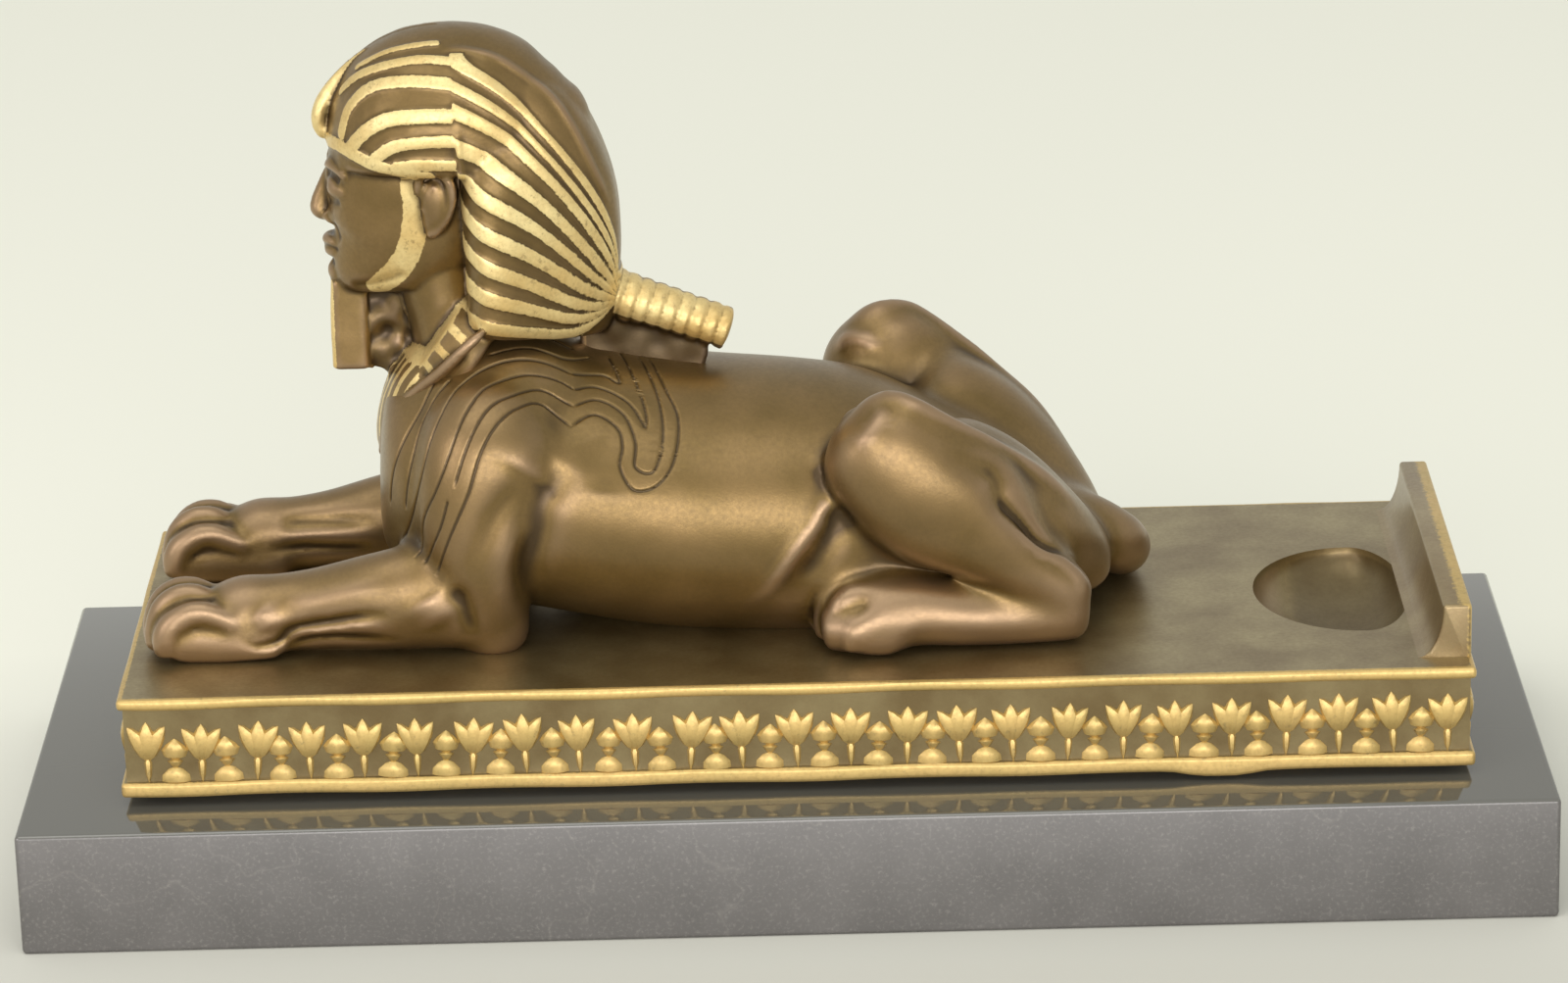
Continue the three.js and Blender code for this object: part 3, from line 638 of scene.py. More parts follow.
# Gilt bands of the cap in front of the fold and over the crown: points on the left side, half width.
GILT_BANDS = [
    ([(-60.5, -17, 107.5), (-67.5, -16.5, 107.5), (-74, -15, 106.5), (-78.5, -14, 104),
      (-81.5, -11.5, 100)], 1.5),
    ([(-60, -17, 102.5), (-67.5, -17, 102.5), (-73, -16.5, 101.5), (-76.5, -15, 99)], 1.25),
    ([(-60, -17, 97.5), (-68, -17, 98), (-72.5, -16.5, 97.5)], 1.2),
    ([(-83.5, -9.5, 102.5), (-81, -9.5, 108), (-77, -11, 112), (-70.5, -13, 113.5),
      (-61, -14, 113)], 1.3),
    ([(-83, -4.5, 109.5), (-80.5, -6.5, 112.5), (-74, -9.5, 116), (-67.5, -10.5, 117),
      (-60, -11.5, 116.5)], 1.1),
    ([(-80, -5, 114.5), (-74, -6.5, 118), (-64.5, -7.5, 119.5)], 0.8),
    ([(-86.5, -0.5, 99), (-85, -8, 100), (-81, -12.5, 99), (-76.5, -15, 97.5), (-72.5, -16.5, 96.5),
      (-66.5, -17, 95)], 1.35),
    ([(-84.5, -8.5, 100), (-86.5, -4, 99.5), (-87, 0, 99), (-86.5, 4, 99.5), (-84.5, 8.5, 100)], 1.35),
    ([(-69.5, -13, 94.5), (-69.5, -12.5, 89.5), (-70, -12, 84), (-71.5, -11.5, 78.5),
      (-74, -10, 74.5), (-78, -7, 70.5)], 2.6),
]

# Raised and sunk lines of the head: points on the left side, half width, height.
HEAD_FOLDS = [
    ([(-85.5, -5, 77), (-88, -2.5, 77.5), (-89.5, 0, 77)], 0.5, -0.25),
    ([(-87, -3, 74), (-88, -0.5, 74)], 0.9, -0.3),
    ([(-87.5, -2, 92.5), (-86.5, -5, 93), (-84, -8.5, 92.5)], 1, -0.7),
    ([(-88, -2.5, 87), (-87, -5.5, 87), (-84.5, -8.5, 88)], 1, -0.4),
    ([(-88.5, -3, 84.5), (-87, -4, 82.5), (-85.5, -6, 79)], 0.8, -0.45),
    ([(-84, -6, 69.5), (-78, -9, 70.5), (-72, -11, 74)], 1.3, -0.5),
    ([(-64.5, -8.5, 119), (-55, -9, 117.5), (-46.5, -8.5, 112), (-41.5, -9, 106.5),
      (-35, -8.5, 93.5), (-32.5, -6, 85.5)], 0.9, 0.5),
]

WING_ROOT = 66.0
WING_PITCH = 7.0
WING_TOP = 41.3


def wing_stripes(points):
    """The gilt of the wings, over 0 on gold: bands that run from the queue's root to the fold."""
    x, y, z = points.T
    turn = np.degrees(np.arctan2(np.abs(y), x + 46))
    q = np.clip((turn - 15) / 112, 0.01, 1.2)
    rise = z - WING_ROOT
    low, high = np.full(len(x), -14.0), np.full(len(x), 70.0)
    for _ in range(24):
        h = (low + high) / 2
        bend = np.clip(1.3 - (h - 19.3) * 0.0273, 0.3, 1.5)
        sag = 5.0 * np.clip(1 - h / 25, 0, 1.3) * np.sin(np.pi * np.clip(q, 0, 1) ** 0.8)
        under = h * q**bend - sag < rise
        low = np.where(under, h, low)
        high = np.where(under, high, h)
    h = (low + high) / 2
    scale = np.clip(q, 0.02, 1) ** np.clip(1.3 - (h - 19.3) * 0.0273, 0.3, 1.5)
    even = np.where(h < WING_TOP, h, WING_TOP + (h - WING_TOP) * 2.1)
    phase = (even - WING_TOP) / WING_PITCH
    off = np.abs(phase - np.round(phase))
    open_from = np.clip(0.3 - 0.25 * (phase + 6) / 6, 0.03, 0.3)
    dark = 0.235 * np.clip((q - open_from) / 0.5, 0.0, 1) ** 0.55
    field = (0.5 - dark - off) * WING_PITCH * np.clip(scale, 0.2, 1)
    field = np.where(phase < -6.6, np.minimum(field, (phase + 6.45) * 5), field)
    field = np.where(z > 118.2 - np.maximum(x + 58, 0) * 0.9, -1.0, field)
    return np.where(phase > 2.45, -0.8, field)


COLLAR_BAR_PITCH = 4.6
STRAND_PITCH = 2.6


def collar_gilt(x, y, z):
    """Bars across the collar under a plain edge, and strands of beads down the breast."""
    along_edge = x * 0.59 + z * 0.81
    above_edge = -(x + 67.4) * 0.81 + (z - 60.4) * 0.59
    bars = np.abs((along_edge / COLLAR_BAR_PITCH) % 1 - 0.5) * COLLAR_BAR_PITCH - 1.4
    gilt = np.maximum(bars, above_edge + 1.1)
    gilt = np.where(above_edge < -4.6, -1.0, gilt)
    strands = -0.05 + 0.8 * np.cos(2 * math.pi * y / STRAND_PITCH)
    gilt = np.where((x < -70.5) & (z < 55) & (above_edge > -3), strands, gilt)
    return np.where((x < -74) & (z < 48), strands, gilt)


def head_gilt(points, is_label, tree, behind, queue_axis):
    """How far inside its gilding each point of the head is, under 0 outside it."""
    x, y, z = points.T
    cloth = is_label["cap"] | is_label["bag"]
    gilt = np.where(cloth & behind, wing_stripes(points), NO_GILT)
    bands = np.full(len(points), NO_GILT)
    for path, half in GILT_BANDS:
        for side in both_sides([path]):
            far, _ = distance_to(points, laid_path(tree, side), 3)
            bands = np.maximum(bands, half - far)
    banded = (cloth & ~behind) | is_label["face"]
    gilt = np.where(banded, np.maximum(gilt, bands), gilt)
    gilt = np.where(is_label["queue"], z - queue_axis + 3.3, gilt)
    gilt = np.where(is_label["cobra"], 2.0, gilt)
    gilt = np.where(is_label["collar"], collar_gilt(x, y, z), gilt)
    return np.where(is_label["beard"], -(x + 87.3), gilt)


def head_forms(bm):
    """Adds every form of the head, and gives the label of the form that each vertex belongs to."""
    counts = []
    for name, forms in HEAD_FORMS.items():
        for copies, square, rounding, stations in forms:
            add = form if copies == 1 else pair
            counts.append((name, len(add(bm, stations, square=square, round=rounding))))
    stations = []
    for k in range(4 * QUEUE_TURNS + 1):
        swell = QUEUE_SWELL[k % 4]
        row = QUEUE_START + (QUEUE_END - QUEUE_START) * k / (4 * QUEUE_TURNS)
        stations.append([*row[:3], row[3] + swell, row[4] + swell])
    counts.append(("queue", len(form(bm, stations, sides=32, rings=150, round=0.04))))
    for name, (outline, thickness) in WEBS.items():
        counts.append((name, len(plate(bm, outline, -thickness / 2, thickness / 2))))
    return np.concatenate([np.full(count, LABELS.index(name)) for name, count in counts])


def head():
    bm = bmesh.new()
    label_of_vert = head_forms(bm)
    bm.verts.index_update()
    source = BVHTree.FromBMesh(bm)
    bm.faces.ensure_lookup_table()
    label_of_face = [label_of_vert[f.verts[0].index] for f in bm.faces]
    made = mesh_object("sphinx_head", bm)
    with_modifier(made, "REMESH", mode="VOXEL", voxel_size=HEAD_VOXEL)
    mesh = made.data
    points = points_of(mesh)
    edges = edges_of(mesh)
    label = np.array([label_of_face[source.find_nearest(Vector(p))[2]] for p in points])
    is_label = {name: label == k for k, name in enumerate(LABELS)}
    cloth = is_label["cap"] | is_label["bag"]
    points = smoothed(points, edges, 0.5, 5)
    points = smoothed(points, edges, np.where(cloth | is_label["collar"], 0.5, 0.0), 10)
    set_points(mesh, points)
    normals = normals_of(mesh)
    tree = tree_of(mesh, points)
    x, y, z = points.T

    # The wings lie behind a fold, with a lip, that runs down from the brow.
    fold = FOLD_X - (z - 62) * 0.028
    lip = np.exp(-(((x - fold - 0.6) / 0.8) ** 2)) * smooth_step(108, 100, z) * cloth
    run = QUEUE_END - QUEUE_START
    queue_axis = QUEUE_START[2] + (x - QUEUE_START[0]) * run[2] / run[0]
    gilt = head_gilt(points, is_label, tree, x > fold, queue_axis)
    raised = np.where(cloth, 0.16 * np.tanh(gilt / 0.35), 0)

    # The metal under the beard and the queue is left rough from the cast, and darker. Under the
    # queue that dark is painted shade.
    under_beard = (x > -80.4) & (x < -72.4) & (z < 69) & (z > 49) & (np.abs(y) < 3.4)
    under_queue = (x > -38) & (z < queue_axis - 3.9) & (np.abs(y) < 3)
    rng = np.random.default_rng(5)
    lumps = smoothed(rng.normal(0, 1, (len(points), 1)), edges, 0.9, 22)[:, 0]
    lumps = lumps / lumps.std()
    bumps = np.where(under_beard, 0.4, np.where(under_queue, 0.12, 0.02))
    height = raised + 0.35 * lip + bumps * lumps
    for path, width, rise in HEAD_FOLDS:
        for side in both_sides([path]):
            height = height + stroke(points, tree, side, width, rise, 0.2)
    points = points + normals * height[:, None]
    set_points(mesh, points)
    cut = np.where(cloth, 0.8 * np.exp(-((gilt / 0.22) ** 2)), 0)
    # Under the queue this dark is painted shade.
    cut = np.where(under_beard, 0.55, np.where(under_queue, 0.8, cut))
    relief = proud_of_surroundings(points, normals_of(mesh), edges)
    keep_fields(made, np.clip(gilt, -3, 3), relief, cut)
    return in_place(with_modifier(made, "DECIMATE", ratio=HEAD_SHARE))


# The tray, in millimetres of the shared frame.

UPPER_FILLET = 2.2
LOWER_FILLET = 3.0
PROUD = 1.1
FOOT_HEIGHT = 2.0
FOOT_INSET = 9.0
LOTUS_PITCH = 10.58
FRIEZE_MARGIN = 4.2
LEAN = 3.5
PATCH = 3.0
FILLET_WAVE = 34
BLOT_X = 84.7
WALL_HEIGHT = 10.8
WALL_FOOT = 10.4
WALL_CREST = 5.6
WALL_SET_IN = 6.2
BOWL_TIP = 94.8
BOWL_BLUNT = 0.5
BOWL_RADII = (20.6, 23.6, 9.5)
BOWL_OFFSET = -3.2

# Each form of a flower: sides, rings, and its stations from the foot upwards.
LOTUS = [
    (6, 3, [[0, 0, -0.5, 0.6, 0.65], [0, 0, 3, 0.6, 0.6], [0, 0, 5.2, 0.7, 1.1]]),
    (8, 5, [[0, 0, 4.2, 0.6, 0.9], [0, 0, 7, 1, 1.5], [0, 0, 10, 0.95, 1.7], [0, 0, 12.4, 0.35, 0.3]]),
]
PETAL = [
    [0.4, 0, 4.4, 0.6, 0.8], [1.2, 0, 7.2, 0.9, 1.5],
    [2.3, 0, 9.6, 0.9, 1.4], [3.7, 0, 11.4, 0.5, 0.45],
]
LOTUS += [(8, 5, [[side * x, *rest] for x, *rest in PETAL]) for side in (1, -1)]
BUD = [
    (8, 4, [[0, 0, -0.6, 0.8, 3], [0, 0, 1.4, 0.9, 2.7], [0, 0, 3.3, 0.5, 0.9]]),
    (8, 3, [[0, 0, 2.9, 0.5, 0.7], [0, 0, 3.9, 0.6, 1], [0, 0, 5.1, 0.9, 2.3]]),
    (8, 5, [[0, 0, 4.6, 0.8, 2.1], [0, 0, 6.6, 1, 2.7], [0, 0, 8, 0.8, 1.7], [0, 0, 9.3, 0.3, 0.25]]),
]


def flowers(chance):
    """Lotus and buds by turns along the four sides, each leaning a little its own way."""
    bm = bmesh.new()
    size = (TRAY_HIGH - TRAY_LOW)[:2]
    foot = TRAY_LOW[2] + FOOT_HEIGHT + LOWER_FILLET
    for turn in range(4):
        length, across = (size[0], size[1]) if turn % 2 == 0 else (size[1], size[0])
        gaps = int((length - 2 * PROUD - 2 * FRIEZE_MARGIN) / LOTUS_PITCH)
        for k in range(2 * gaps + 1):
            own = []
            for sides, rings, stations in BUD if k % 2 else LOTUS:
                own += form(bm, stations, sides=sides, rings=rings, round=0.3)
            lean = Matrix.Rotation(math.radians(chance.uniform(-LEAN, LEAN)), 4, "Y")
            grow = Matrix.Diagonal((chance.uniform(0.93, 1.06), 1, chance.uniform(0.96, 1.02), 1))
            at = (k / 2 - gaps / 2) * LOTUS_PITCH + chance.uniform(-0.25, 0.25)
            out = Matrix.Translation((at, PROUD - across / 2 - 0.05, 0))
            place = Matrix.Translation((TRAY_MIDDLE[0], TRAY_MIDDLE[1], foot))
            whole = place @ Matrix.Rotation(math.pi / 2 * turn, 4, "Z") @ out @ lean @ grow
            bmesh.ops.transform(bm, matrix=whole, verts=own)
    return mesh_object("flowers", bm)


def wave(points, seed, pitch, size):
    """A smooth unevenness in millimetres that depends only on the place."""
    rng = np.random.default_rng(seed)
    total = np.zeros(len(points))
    for _ in range(7):
        way = rng.normal(0, 1, 3)
        way = way / np.linalg.norm(way) / pitch * rng.uniform(0.6, 1.8)
        total += np.sin(2 * math.pi * (points @ way + rng.uniform()))
    return total * size / 2.6


def tray_block():
    """The block of the tray: a ground set back between two fillets that stand proud."""
    bm = bmesh.new()
    low = TRAY_LOW + [PROUD, PROUD, FOOT_HEIGHT]
    high = np.array([TRAY_HIGH[0] - PROUD, TRAY_HIGH[1] - PROUD, FLOOR])
    block(bm, low, high)
    bands = [(low[2], low[2] + LOWER_FILLET), (high[2] - UPPER_FILLET, high[2])]
    for level in (bands[0][1], bands[1][0]):
        cut_through(bm, (0, 0, level), (0, 0, 1))
    for bottom, top in bands:
        sides = [
            f for f in bm.faces
            if abs(f.normal.z) < 0.5 and bottom - 0.01 < f.calc_center_median().z < top + 0.01
        ]
        grown = bmesh.ops.extrude_face_region(bm, geom=sides)["geom"]
        bmesh.ops.delete(bm, geom=sides, context="FACES")
        for vert in (g for g in grown if isinstance(g, bmesh.types.BMVert)):
            vert.co.x += math.copysign(PROUD, vert.co.x - TRAY_MIDDLE[0])
            vert.co.y += math.copysign(PROUD, vert.co.y - TRAY_MIDDLE[1])
    bmesh.ops.remove_doubles(bm, verts=bm.verts[:], dist=1e-4)
    reach = high - TRAY_MIDDLE + PROUD / 2
    outer = [
        e for e in bm.edges
        if all(abs(v.co.x - TRAY_MIDDLE[0]) > reach[0] or abs(v.co.y - TRAY_MIDDLE[1]) > reach[1]
               for v in e.verts)
    ]
    rounded(bm, outer, 0.75)

    # Small patches, so that the fillets can wave.
    for axis, normal in enumerate(((1, 0, 0), (0, 1, 0))):
        place = TRAY_LOW[axis] + 2.2
        while place < TRAY_HIGH[axis] - 1:
            cut_through(bm, Vector(normal) * place, normal)
            place += PATCH
    return mesh_object("bronze_tray", bm)


def bowl_cutter():
    """The egg shape of the bowl, long on the side of the tail and blunt at the end wall."""
    bm = bmesh.new()
    made = bmesh.ops.create_uvsphere(bm, u_segments=64, v_segments=40, radius=1)
    centre = Vector((BOWL_TIP + BOWL_RADII[0], TRAY_MIDDLE[1] + BOWL_OFFSET, FLOOR))
    for vert in made["verts"]:
        if vert.co.x > 0:
            vert.co.x *= BOWL_BLUNT
    matrix = Matrix.Translation(centre) @ Matrix.Diagonal([*BOWL_RADII, 1])
    bmesh.ops.transform(bm, matrix=matrix, verts=made["verts"])
    return mesh_object("bowl_cutter", bm)


def end_wall():
    """The wall at the tray's far end, hollowed to a cove on the side of the bowl."""
    bm = bmesh.new()
    outer = TRAY_HIGH[0] - 0.4
    foot, crest = outer - WALL_FOOT, outer - WALL_CREST
    cove = [
        (foot + (crest - foot) * math.sin(a), WALL_HEIGHT * (1 - math.cos(a)))
        for a in np.linspace(0, math.pi / 2, 11)
    ]
    outline = [(foot, -1), *cove, (outer, WALL_HEIGHT), (outer, -1)]
    raised = [(x, FLOOR + z) for x, z in outline]
    plate(bm, raised, TRAY_LOW[1] + WALL_SET_IN, TRAY_HIGH[1] - WALL_SET_IN)
    rim = [
        e for e in bm.edges
        if e.calc_face_angle(0) > 0.7 and max(v.co.z for v in e.verts) > FLOOR + 1
    ]
    rounded(bm, rim, 0.7)
    return mesh_object("end_wall", bm)


def tray():
    made = tray_block()
    cutter = bowl_cutter()
    with_modifier(made, "BOOLEAN", operation="DIFFERENCE", object=cutter, solver="EXACT")
    bpy.data.objects.remove(cutter)
    bm = bmesh.new()
    bm.from_mesh(made.data)
    bmesh.ops.triangulate(bm, faces=[f for f in bm.faces if len(f.verts) > 4])
    bm.to_mesh(made.data)
    bm.free()

    # The fillets wave a little, with a blot of spilt metal on the lower one.
    points = points_of(made.data)
    away = np.abs(points[:, :2] - TRAY_MIDDLE[:2]) - (TRAY_HALF[:2] - PROUD)
    outside = away.max(1)
    on_fillet = smooth_step(0.2, 0.8, outside)
    unevenness = wave(points * [1, 1, 0], 3, FILLET_WAVE, 0.22)
    points[:, 2] += on_fillet * unevenness * (points[:, 2] < FLOOR - 0.3)
    blot = np.exp(-(((points[:, 0] - BLOT_X) / 7.5) ** 4)) * (points[:, 1] < TRAY_LOW[1] + 2)
    points[:, 2] -= blot * (points[:, 2] < TRAY_LOW[2] + FOOT_HEIGHT + 1.4)
    set_points(made.data, points)
    gilt = np.where(points[:, 2] > FLOOR - 0.3, outside + 0.1, outside - 0.4)

    # The bowl gets painted shade but for a painted highlight on its tip, and the ground of the frieze
    # is dark as well.
    in_bowl = (points[:, 0] > BOWL_TIP - 1) & (outside < -3) & (points[:, 2] < FLOOR - 0.8)
    tip_highlight = 0.26 * smooth_step(BOWL_TIP + 11, BOWL_TIP + 3, points[:, 0])
    relief = np.where(in_bowl, -0.1 + tip_highlight, 0.0)
    ground = (outside > -0.5) & (outside < 0.2) & (points[:, 2] < FLOOR - 1)
    relief = np.where(ground, -0.06, relief)
    keep_fields(made, np.clip(gilt, -3, 3), relief)

    # The wall has gilding on its crest and a worn gilt line up its outer corners.
    wall = end_wall()
    points = points_of(wall.data)
    crest = (points[:, 2] > FLOOR + WALL_HEIGHT - 1) & (points[:, 0] > TRAY_HIGH[0] - 4)
    outer_face = points[:, 0] > TRAY_HIGH[0] - 1.2
    to_end = TRAY_HALF[1] - np.abs(points[:, 1] - TRAY_MIDDLE[1])
    gilt = np.where(crest, 0.5, np.where(outer_face & (to_end < 7.2), 0.1, -0.6))
    gilt = np.where(to_end < 6.3, np.where(outer_face, 0.05, -1.2), gilt)
    # The whole wall gets a little of the pale tint as painted light on its bronze.
    keep_fields(wall, gilt, 0.09)

    row = flowers(random.Random(11))
    keep_fields(row, 1.2)
    foot = bmesh.new()
    top = TRAY_LOW[2] + FOOT_HEIGHT + 0.5
    high = np.array([TRAY_HIGH[0] - FOOT_INSET, TRAY_HIGH[1] - FOOT_INSET, top])
    block(foot, TRAY_LOW + [FOOT_INSET, FOOT_INSET, 0], high)
    stand = mesh_object("tray_foot", foot)
    keep_fields(stand, NO_GILT)
    return one_piece(made, wall, row, stand)


def one_piece(first, *others):
    """Joins meshes, with their fields, into the first and sets it in place in metres."""
    bm = bmesh.new()
    for piece in (first, *others):
        bm.from_mesh(piece.data)
        if piece is not first:
            bpy.data.objects.remove(piece)
    bm.to_mesh(first.data)
    bm.free()
    first.data.transform(Matrix.Scale(MM, 4))
    return first


def slab():
    bm = bmesh.new()
    block(bm, SLAB_LOW, SLAB_HIGH)
    rounded(bm, bm.edges[:], 0.9)
    bmesh.ops.transform(bm, matrix=Matrix.Scale(MM, 4), verts=bm.verts[:])
    return mesh_object("marble_slab_polished", bm)


# Materials.


def colour(hex_value):
    """A linear colour from the sRGB one that a hex value gives."""
    channels = [int(hex_value[k : k + 2], 16) / 255 for k in (1, 3, 5)]
    return (*[c / 12.92 if c <= 0.04045 else ((c + 0.055) / 1.055) ** 2.4 for c in channels], 1)


def node(tree, kind, inputs=(), give=None, **settings):
    """Adds a node with its settings. Its inputs are values or sockets to link, by name or, in a
    list, in order. Gives the node, or one of its outputs."""
    made = tree.nodes.new(kind)
    for key, value in settings.items():
        setattr(made, key, value)
    for key, value in inputs.items() if isinstance(inputs, dict) else enumerate(inputs):
        socket = made.inputs[key]
        if isinstance(value, bpy.types.NodeSocket):
            tree.links.new(value, socket)
        else:
            socket.default_value = value
    return made if give is None else made.outputs[give]


def new_material(name):
    """A material without nodes, its node tree and the place on the object in metres."""
    material = bpy.data.materials.new(name)
    material.use_nodes = True
    tree = material.node_tree
    tree.nodes.clear()
    return material, tree, node(tree, "ShaderNodeTexCoord", give="Object")


def lump(place, size, layers, strength):
    """What a field of lumps needs: their size in millimetres, how many finer layers and how strong."""
    return {"Vector": place, "Scale": 1 / (size * MM), "Detail": layers, "Roughness": strength}


def laid_over(tree, base, *tints):
    """Lays tints over a colour. Each has the field that it follows, the field's values where it is
    absent and where it is full, how much it covers where it is full, and its colour."""
    for field, absent, full, most, tint in tints:
        share = node(tree, "ShaderNodeMapRange", [field, absent, full, 0.0, most], "Result")
        inputs = {0: share, 6: base, 7: colour(tint)}
        base = node(tree, "ShaderNodeMix", inputs, 2, data_type="RGBA")
    return base


# Pale rubbed bronze; also a painted highlight on whatever stands proud and painted light on the feet,
# end wall and bowl tip.
RUBBED_AND_LIT_BRONZE = "#b4977c"
# Dark of the cut lines, also used as painted shade under the queue.
CUT_LINE_AND_SHADE = "#2b1f10"
WARM_LEAF = "#d6b672"
THIN_LEAF = "#8d6f36"
# Duller leaf in the hollows, with painted shade there.
DULL_AND_SHADED_LEAF = "#5a431d"


def bronze(name, ground, pale, hollow, gold):
    """Cast bronze, chased, patinated brown and partly gilt with leaf. The patina is darkest in the
    hollows, with painted shade there, and rubbed to a warm pinkish brown where hands touch it, a tint
    that also serves as painted highlight on what stands proud and as painted light; with a satin
    sheen. The leaf has ragged edges and thin spots, and is duller in the hollows, with painted shade
    there. Cut lines are dark, and that dark is also painted shade under the queue. The cast grain is
    drawn coarser than real, so that it shows."""
    material, tree, place = new_material(name)
    relief, cut_lines_and_shade, gilt = (
        node(tree, "ShaderNodeAttribute", give="Fac", attribute_name=field)
        for field in ("relief", "cut_lines_and_shade", "gilt")
    )
    sizes = (14, 4, 0.55), (0.9, 4, 0.65), (1.1, 4, 0.7), (1.7, 5, 0.75), (0.45, 3, 0.6)
    cloud, fine, ragged, worn, pits = (
        node(tree, "ShaderNodeTexNoise", lump(place, *size), "Fac")
        for size in sizes
    )
    patina = laid_over(
        tree,
        colour(ground),
        (cloud, 0.35, 0.68, 1.0, pale),
        # Dark patina in the hollows, with painted shade in them.
        (fine, 0.3, 0.8, 0.22, hollow),
        (relief, -0.02, -0.16, 0.85, hollow),
        # Rubbed bronze where the relief field is high: wear, and painted highlight and painted light
        # as well.
        (relief, 0.03, 0.2, 0.5, RUBBED_AND_LIT_BRONZE),
        # Dark cut lines, and painted shade under the queue.
        (cut_lines_and_shade, 0.25, 0.8, 0.7, CUT_LINE_AND_SHADE),
    )
    leaf = laid_over(
        tree,
        colour(gold),
        (cloud, 0.3, 0.7, 1.0, WARM_LEAF),
        (fine, 0.45, 0.8, 0.35, THIN_LEAF),
        # Duller leaf in the hollows, with painted shade in them.
        (relief, -0.02, -0.2, 0.8, DULL_AND_SHADED_LEAF),
    )
    fray = node(tree, "ShaderNodeMapRange", [ragged, 0.25, 0.75, -0.2, 0.2], "Result")
    edge = node(tree, "ShaderNodeMath", [gilt, fray], 0, operation="ADD")
    covered = node(tree, "ShaderNodeMapRange", [edge, 0.0, 0.16], "Result")
    kept = node(tree, "ShaderNodeMapRange", [worn, 0.34, 0.42, 0.55, 1.0], "Result")
    gilding = node(tree, "ShaderNodeMath", [covered, kept], 0, operation="MULTIPLY")
    skin = node(tree, "ShaderNodeMix", {0: gilding, 6: patina, 7: leaf}, 2, data_type="RGBA")
    satin = node(tree, "ShaderNodeMapRange", [fine, 0.3, 0.7, 0.33, 0.44], "Result")
    matter = node(tree, "ShaderNodeMath", [gilding, 0.08], 0, operation="MULTIPLY")
    grain = {"Height": pits, "Strength": 0.12, "Distance": 0.2 * MM}
    sockets = {
        "Base Color": skin,
        "Roughness": node(tree, "ShaderNodeMath", [satin, matter], 0, operation="ADD"),
        "Metallic": node(tree, "ShaderNodeMapRange", [gilding, 0.0, 1.0, 0.82, 0.7], "Result"),
        "Normal": node(tree, "ShaderNodeBump", grain, "Normal"),
        "Coat Weight": 0.4,
        "Coat Roughness": 0.32,
    }
    shader = node(tree, "ShaderNodeBsdfPrincipled", sockets, "BSDF")
    node(tree, "ShaderNodeOutputMaterial", {"Surface": shader})
    return material


POLISH_DEPTH = 0.9
SPOT_SPACING = 47.62


def black_marble():
    """Black marble, polished like a mirror on top and only honed on its sides, where it looks grey
    and shows pale specks and a few thin veins. The top is coloured a lighter grey as painted
    reflection of the pale surroundings. Its index is matched to the strong mirror on top."""
    material, tree, place = new_material("Black marble, polished top and honed sides")
    height = node(tree, "ShaderNodeSeparateXYZ", [place], "Z")
    level = SLAB_HIGH[2] * MM
    polished = [height, level - POLISH_DEPTH * MM, level - 0.3 * MM]
    top = node(tree, "ShaderNodeMapRange", polished, "Result")
    cloud, fine = (
        node(tree, "ShaderNodeTexNoise", lump(place, *size), "Fac")
        for size in ((16, 5, 0.6), (0.8, 4, 0.7))
    )

    # Thin veins: where a bent field passes its middle value.
    wobble = {"Vector": place, "Scale": 1 / (25 * MM), "Detail": 4.0}
    shift = {0: node(tree, "ShaderNodeTexNoise", wobble, "Color"), "Scale": 30 * MM}
    spread = node(tree, "ShaderNodeVectorMath", shift, 0, operation="SCALE")
    bent = node(tree, "ShaderNodeVectorMath", [place, spread], 0, operation="ADD")
    bands = node(tree, "ShaderNodeTexNoise", lump(bent, 55, 2, 0.55), "Fac")
    middle = node(tree, "ShaderNodeMath", [bands, 0.5], 0, operation="SUBTRACT")
    vein = node(tree, "ShaderNodeMath", [middle], 0, operation="ABSOLUTE")
    spacing = {"Vector": place, "Scale": 1 / (SPOT_SPACING * MM)}
    spots = node(tree, "ShaderNodeTexVoronoi", spacing, "Distance")
    side = laid_over(
        tree,
        colour("#444140"),
        (cloud, 0.3, 0.7, 1.0, "#555251"),
        (fine, 0.52, 0.72, 0.4, "#8f8b86"),
        (fine, 0.42, 0.25, 0.5, "#4c4844"),
        (vein, 0.004, 0.0, 0.09, "#a9a49a"),
        (spots, 0.1, 0.06, 0.5, "#9b9894"),
    )
    sockets = {
        # The polished top is painted a lighter grey: painted reflection.
        "Base Color": laid_over(tree, side, (top, 0.0, 1.0, 1.0, "#56554f")),
        "Roughness": node(tree, "ShaderNodeMapRange", [top, 0.0, 1.0, 0.5, 0.07], "Result"),
        "IOR": 2.1,
    }
    shader = node(tree, "ShaderNodeBsdfPrincipled", sockets, "BSDF")
    node(tree, "ShaderNodeOutputMaterial", {"Surface": shader})
    return material


def paper():
    """The pale paper that the piece stands on, matt, with painted shade that makes it a little darker
    in front.
    """
    material, tree, place = new_material("Pale background paper")
    away = node(tree, "ShaderNodeSeparateXYZ", [place], "Y")
    # Painted shade: darker towards the front.
    tone = laid_over(tree, colour("#cdcdc5"), (away, -0.12, 0.1, 1.0, "#f8f9ee"))
    sockets = {"Base Color": tone, "Roughness": 0.9, "Specular IOR Level": 0.1}
    shader = node(tree, "ShaderNodeBsdfPrincipled", sockets, "BSDF")
    node(tree, "ShaderNodeOutputMaterial", {"Surface": shader})
    return material


# Putting it together.

figure_finish = bronze("Patinated bronze with gilding", "#786134", "#8a7044", "#3f2f1a", "#f6e2a4")
tray_finish = bronze("Patinated bronze tray with gilding", "#85724a", "#a4946a", "#483820", "#c8ae6b")
marble_finish = black_marble()


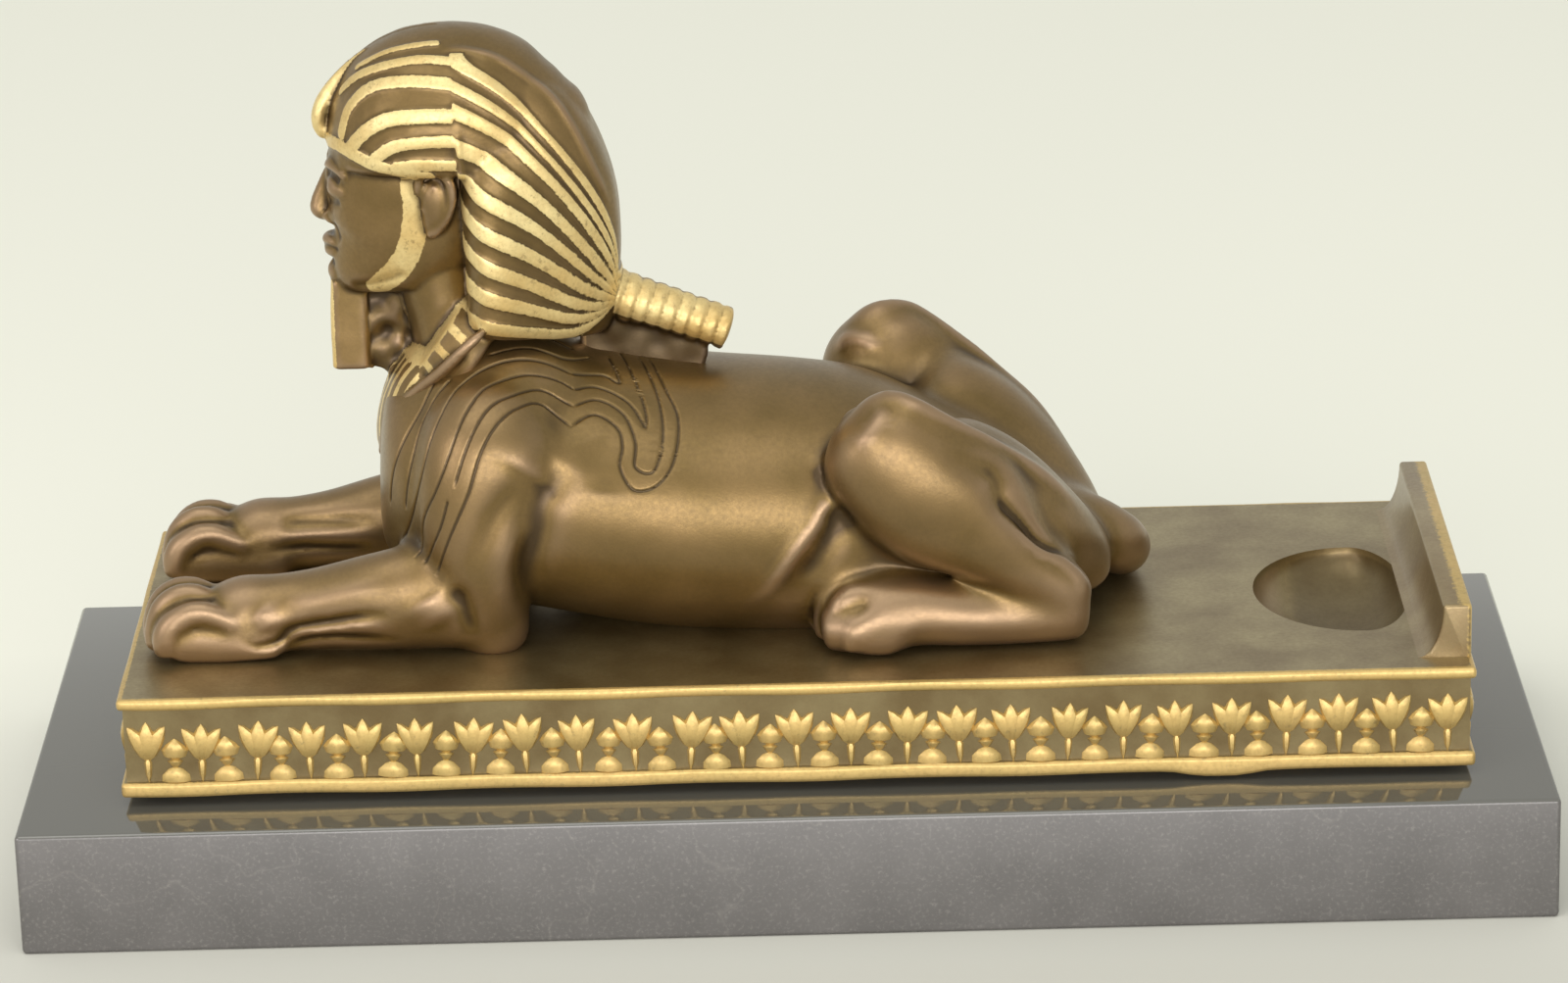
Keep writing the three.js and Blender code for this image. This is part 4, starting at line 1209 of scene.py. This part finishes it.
def finish(made, material, node_name, soft_edges=math.radians(35)):
    made.data.materials.clear()
    made.data.materials.append(material)
    made.data.polygons.foreach_set("use_smooth", [True] * len(made.data.polygons))
    made.data.set_sharp_from_angle(angle=soft_edges)
    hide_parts(node_name)
    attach(made, "root")


finish(body(), figure_finish, "sphinx_figure", math.radians(70))
finish(head(), figure_finish, "sphinx_figure", math.radians(80))
finish(tray(), tray_finish, "bronze_plinth")
finish(slab(), marble_finish, "marble_slab")

floor_mesh = bmesh.new()
bmesh.ops.create_grid(floor_mesh, x_segments=1, y_segments=1, size=6)
floor = mesh_object("paper_floor", floor_mesh)
floor.data.materials.append(paper())


# Light and camera.


def soft_light(name, place, aim, size, power, tint):
    data = bpy.data.lights.new(name, "AREA")
    data.shape = "RECTANGLE"
    data.size, data.size_y = size
    data.energy = power
    data.color = colour(tint)[:3]
    lamp = bpy.data.objects.new(name, data)
    bpy.context.scene.collection.objects.link(lamp)
    lamp.location = place
    lamp.rotation_euler = (Vector(aim) - Vector(place)).to_track_quat("-Z", "Y").to_euler()


soft_light("overhead_softbox", (-0.2, -0.5, 1.3), (0, 0, 0.06), (1.3, 0.9), 4.5, "#fffdf8")
soft_light("left_softbox", (-1.2, -1.0, 0.6), (0, 0, 0.08), (0.8, 0.8), 5, "#fff6f6")
soft_light("front_softbox", (0.1, -1.9, 0.36), (0, 0, 0.06), (1.8, 0.9), 23, "#fffaf8")

world = bpy.data.worlds.new("studio")
world.use_nodes = True
world.node_tree.nodes["Background"].inputs["Color"].default_value = colour("#f4f4ee")
world.node_tree.nodes["Background"].inputs["Strength"].default_value = 0.76
bpy.context.scene.world = world

CAMERA_AZIMUTH = math.radians(0.231)
CAMERA_ELEVATION = math.radians(19.859)
CAMERA_ROLL = math.radians(-1.503)
CAMERA_DISTANCE = 1.188
CAMERA_AIM = Vector((0.00077, 0, 0.06972))
back = Vector(
    (
        math.sin(CAMERA_AZIMUTH) * math.cos(CAMERA_ELEVATION),
        -math.cos(CAMERA_AZIMUTH) * math.cos(CAMERA_ELEVATION),
        math.sin(CAMERA_ELEVATION),
    )
)
level = Vector((math.cos(CAMERA_AZIMUTH), math.sin(CAMERA_AZIMUTH), 0))
upright = back.cross(level)
right = level * math.cos(CAMERA_ROLL) + upright * math.sin(CAMERA_ROLL)
above = upright * math.cos(CAMERA_ROLL) - level * math.sin(CAMERA_ROLL)
camera_data = bpy.data.cameras.new("camera")
camera_data.sensor_width = 36
camera_data.lens = 135.65
camera_data.clip_start = 0.05
camera = bpy.data.objects.new("camera", camera_data)
bpy.context.scene.collection.objects.link(camera)
turn = Matrix((right, above, back)).transposed().to_4x4()
camera.matrix_world = Matrix.Translation(CAMERA_AIM + back * CAMERA_DISTANCE) @ turn
bpy.context.scene.camera = camera
bpy.context.scene.view_settings.view_transform = "Standard"
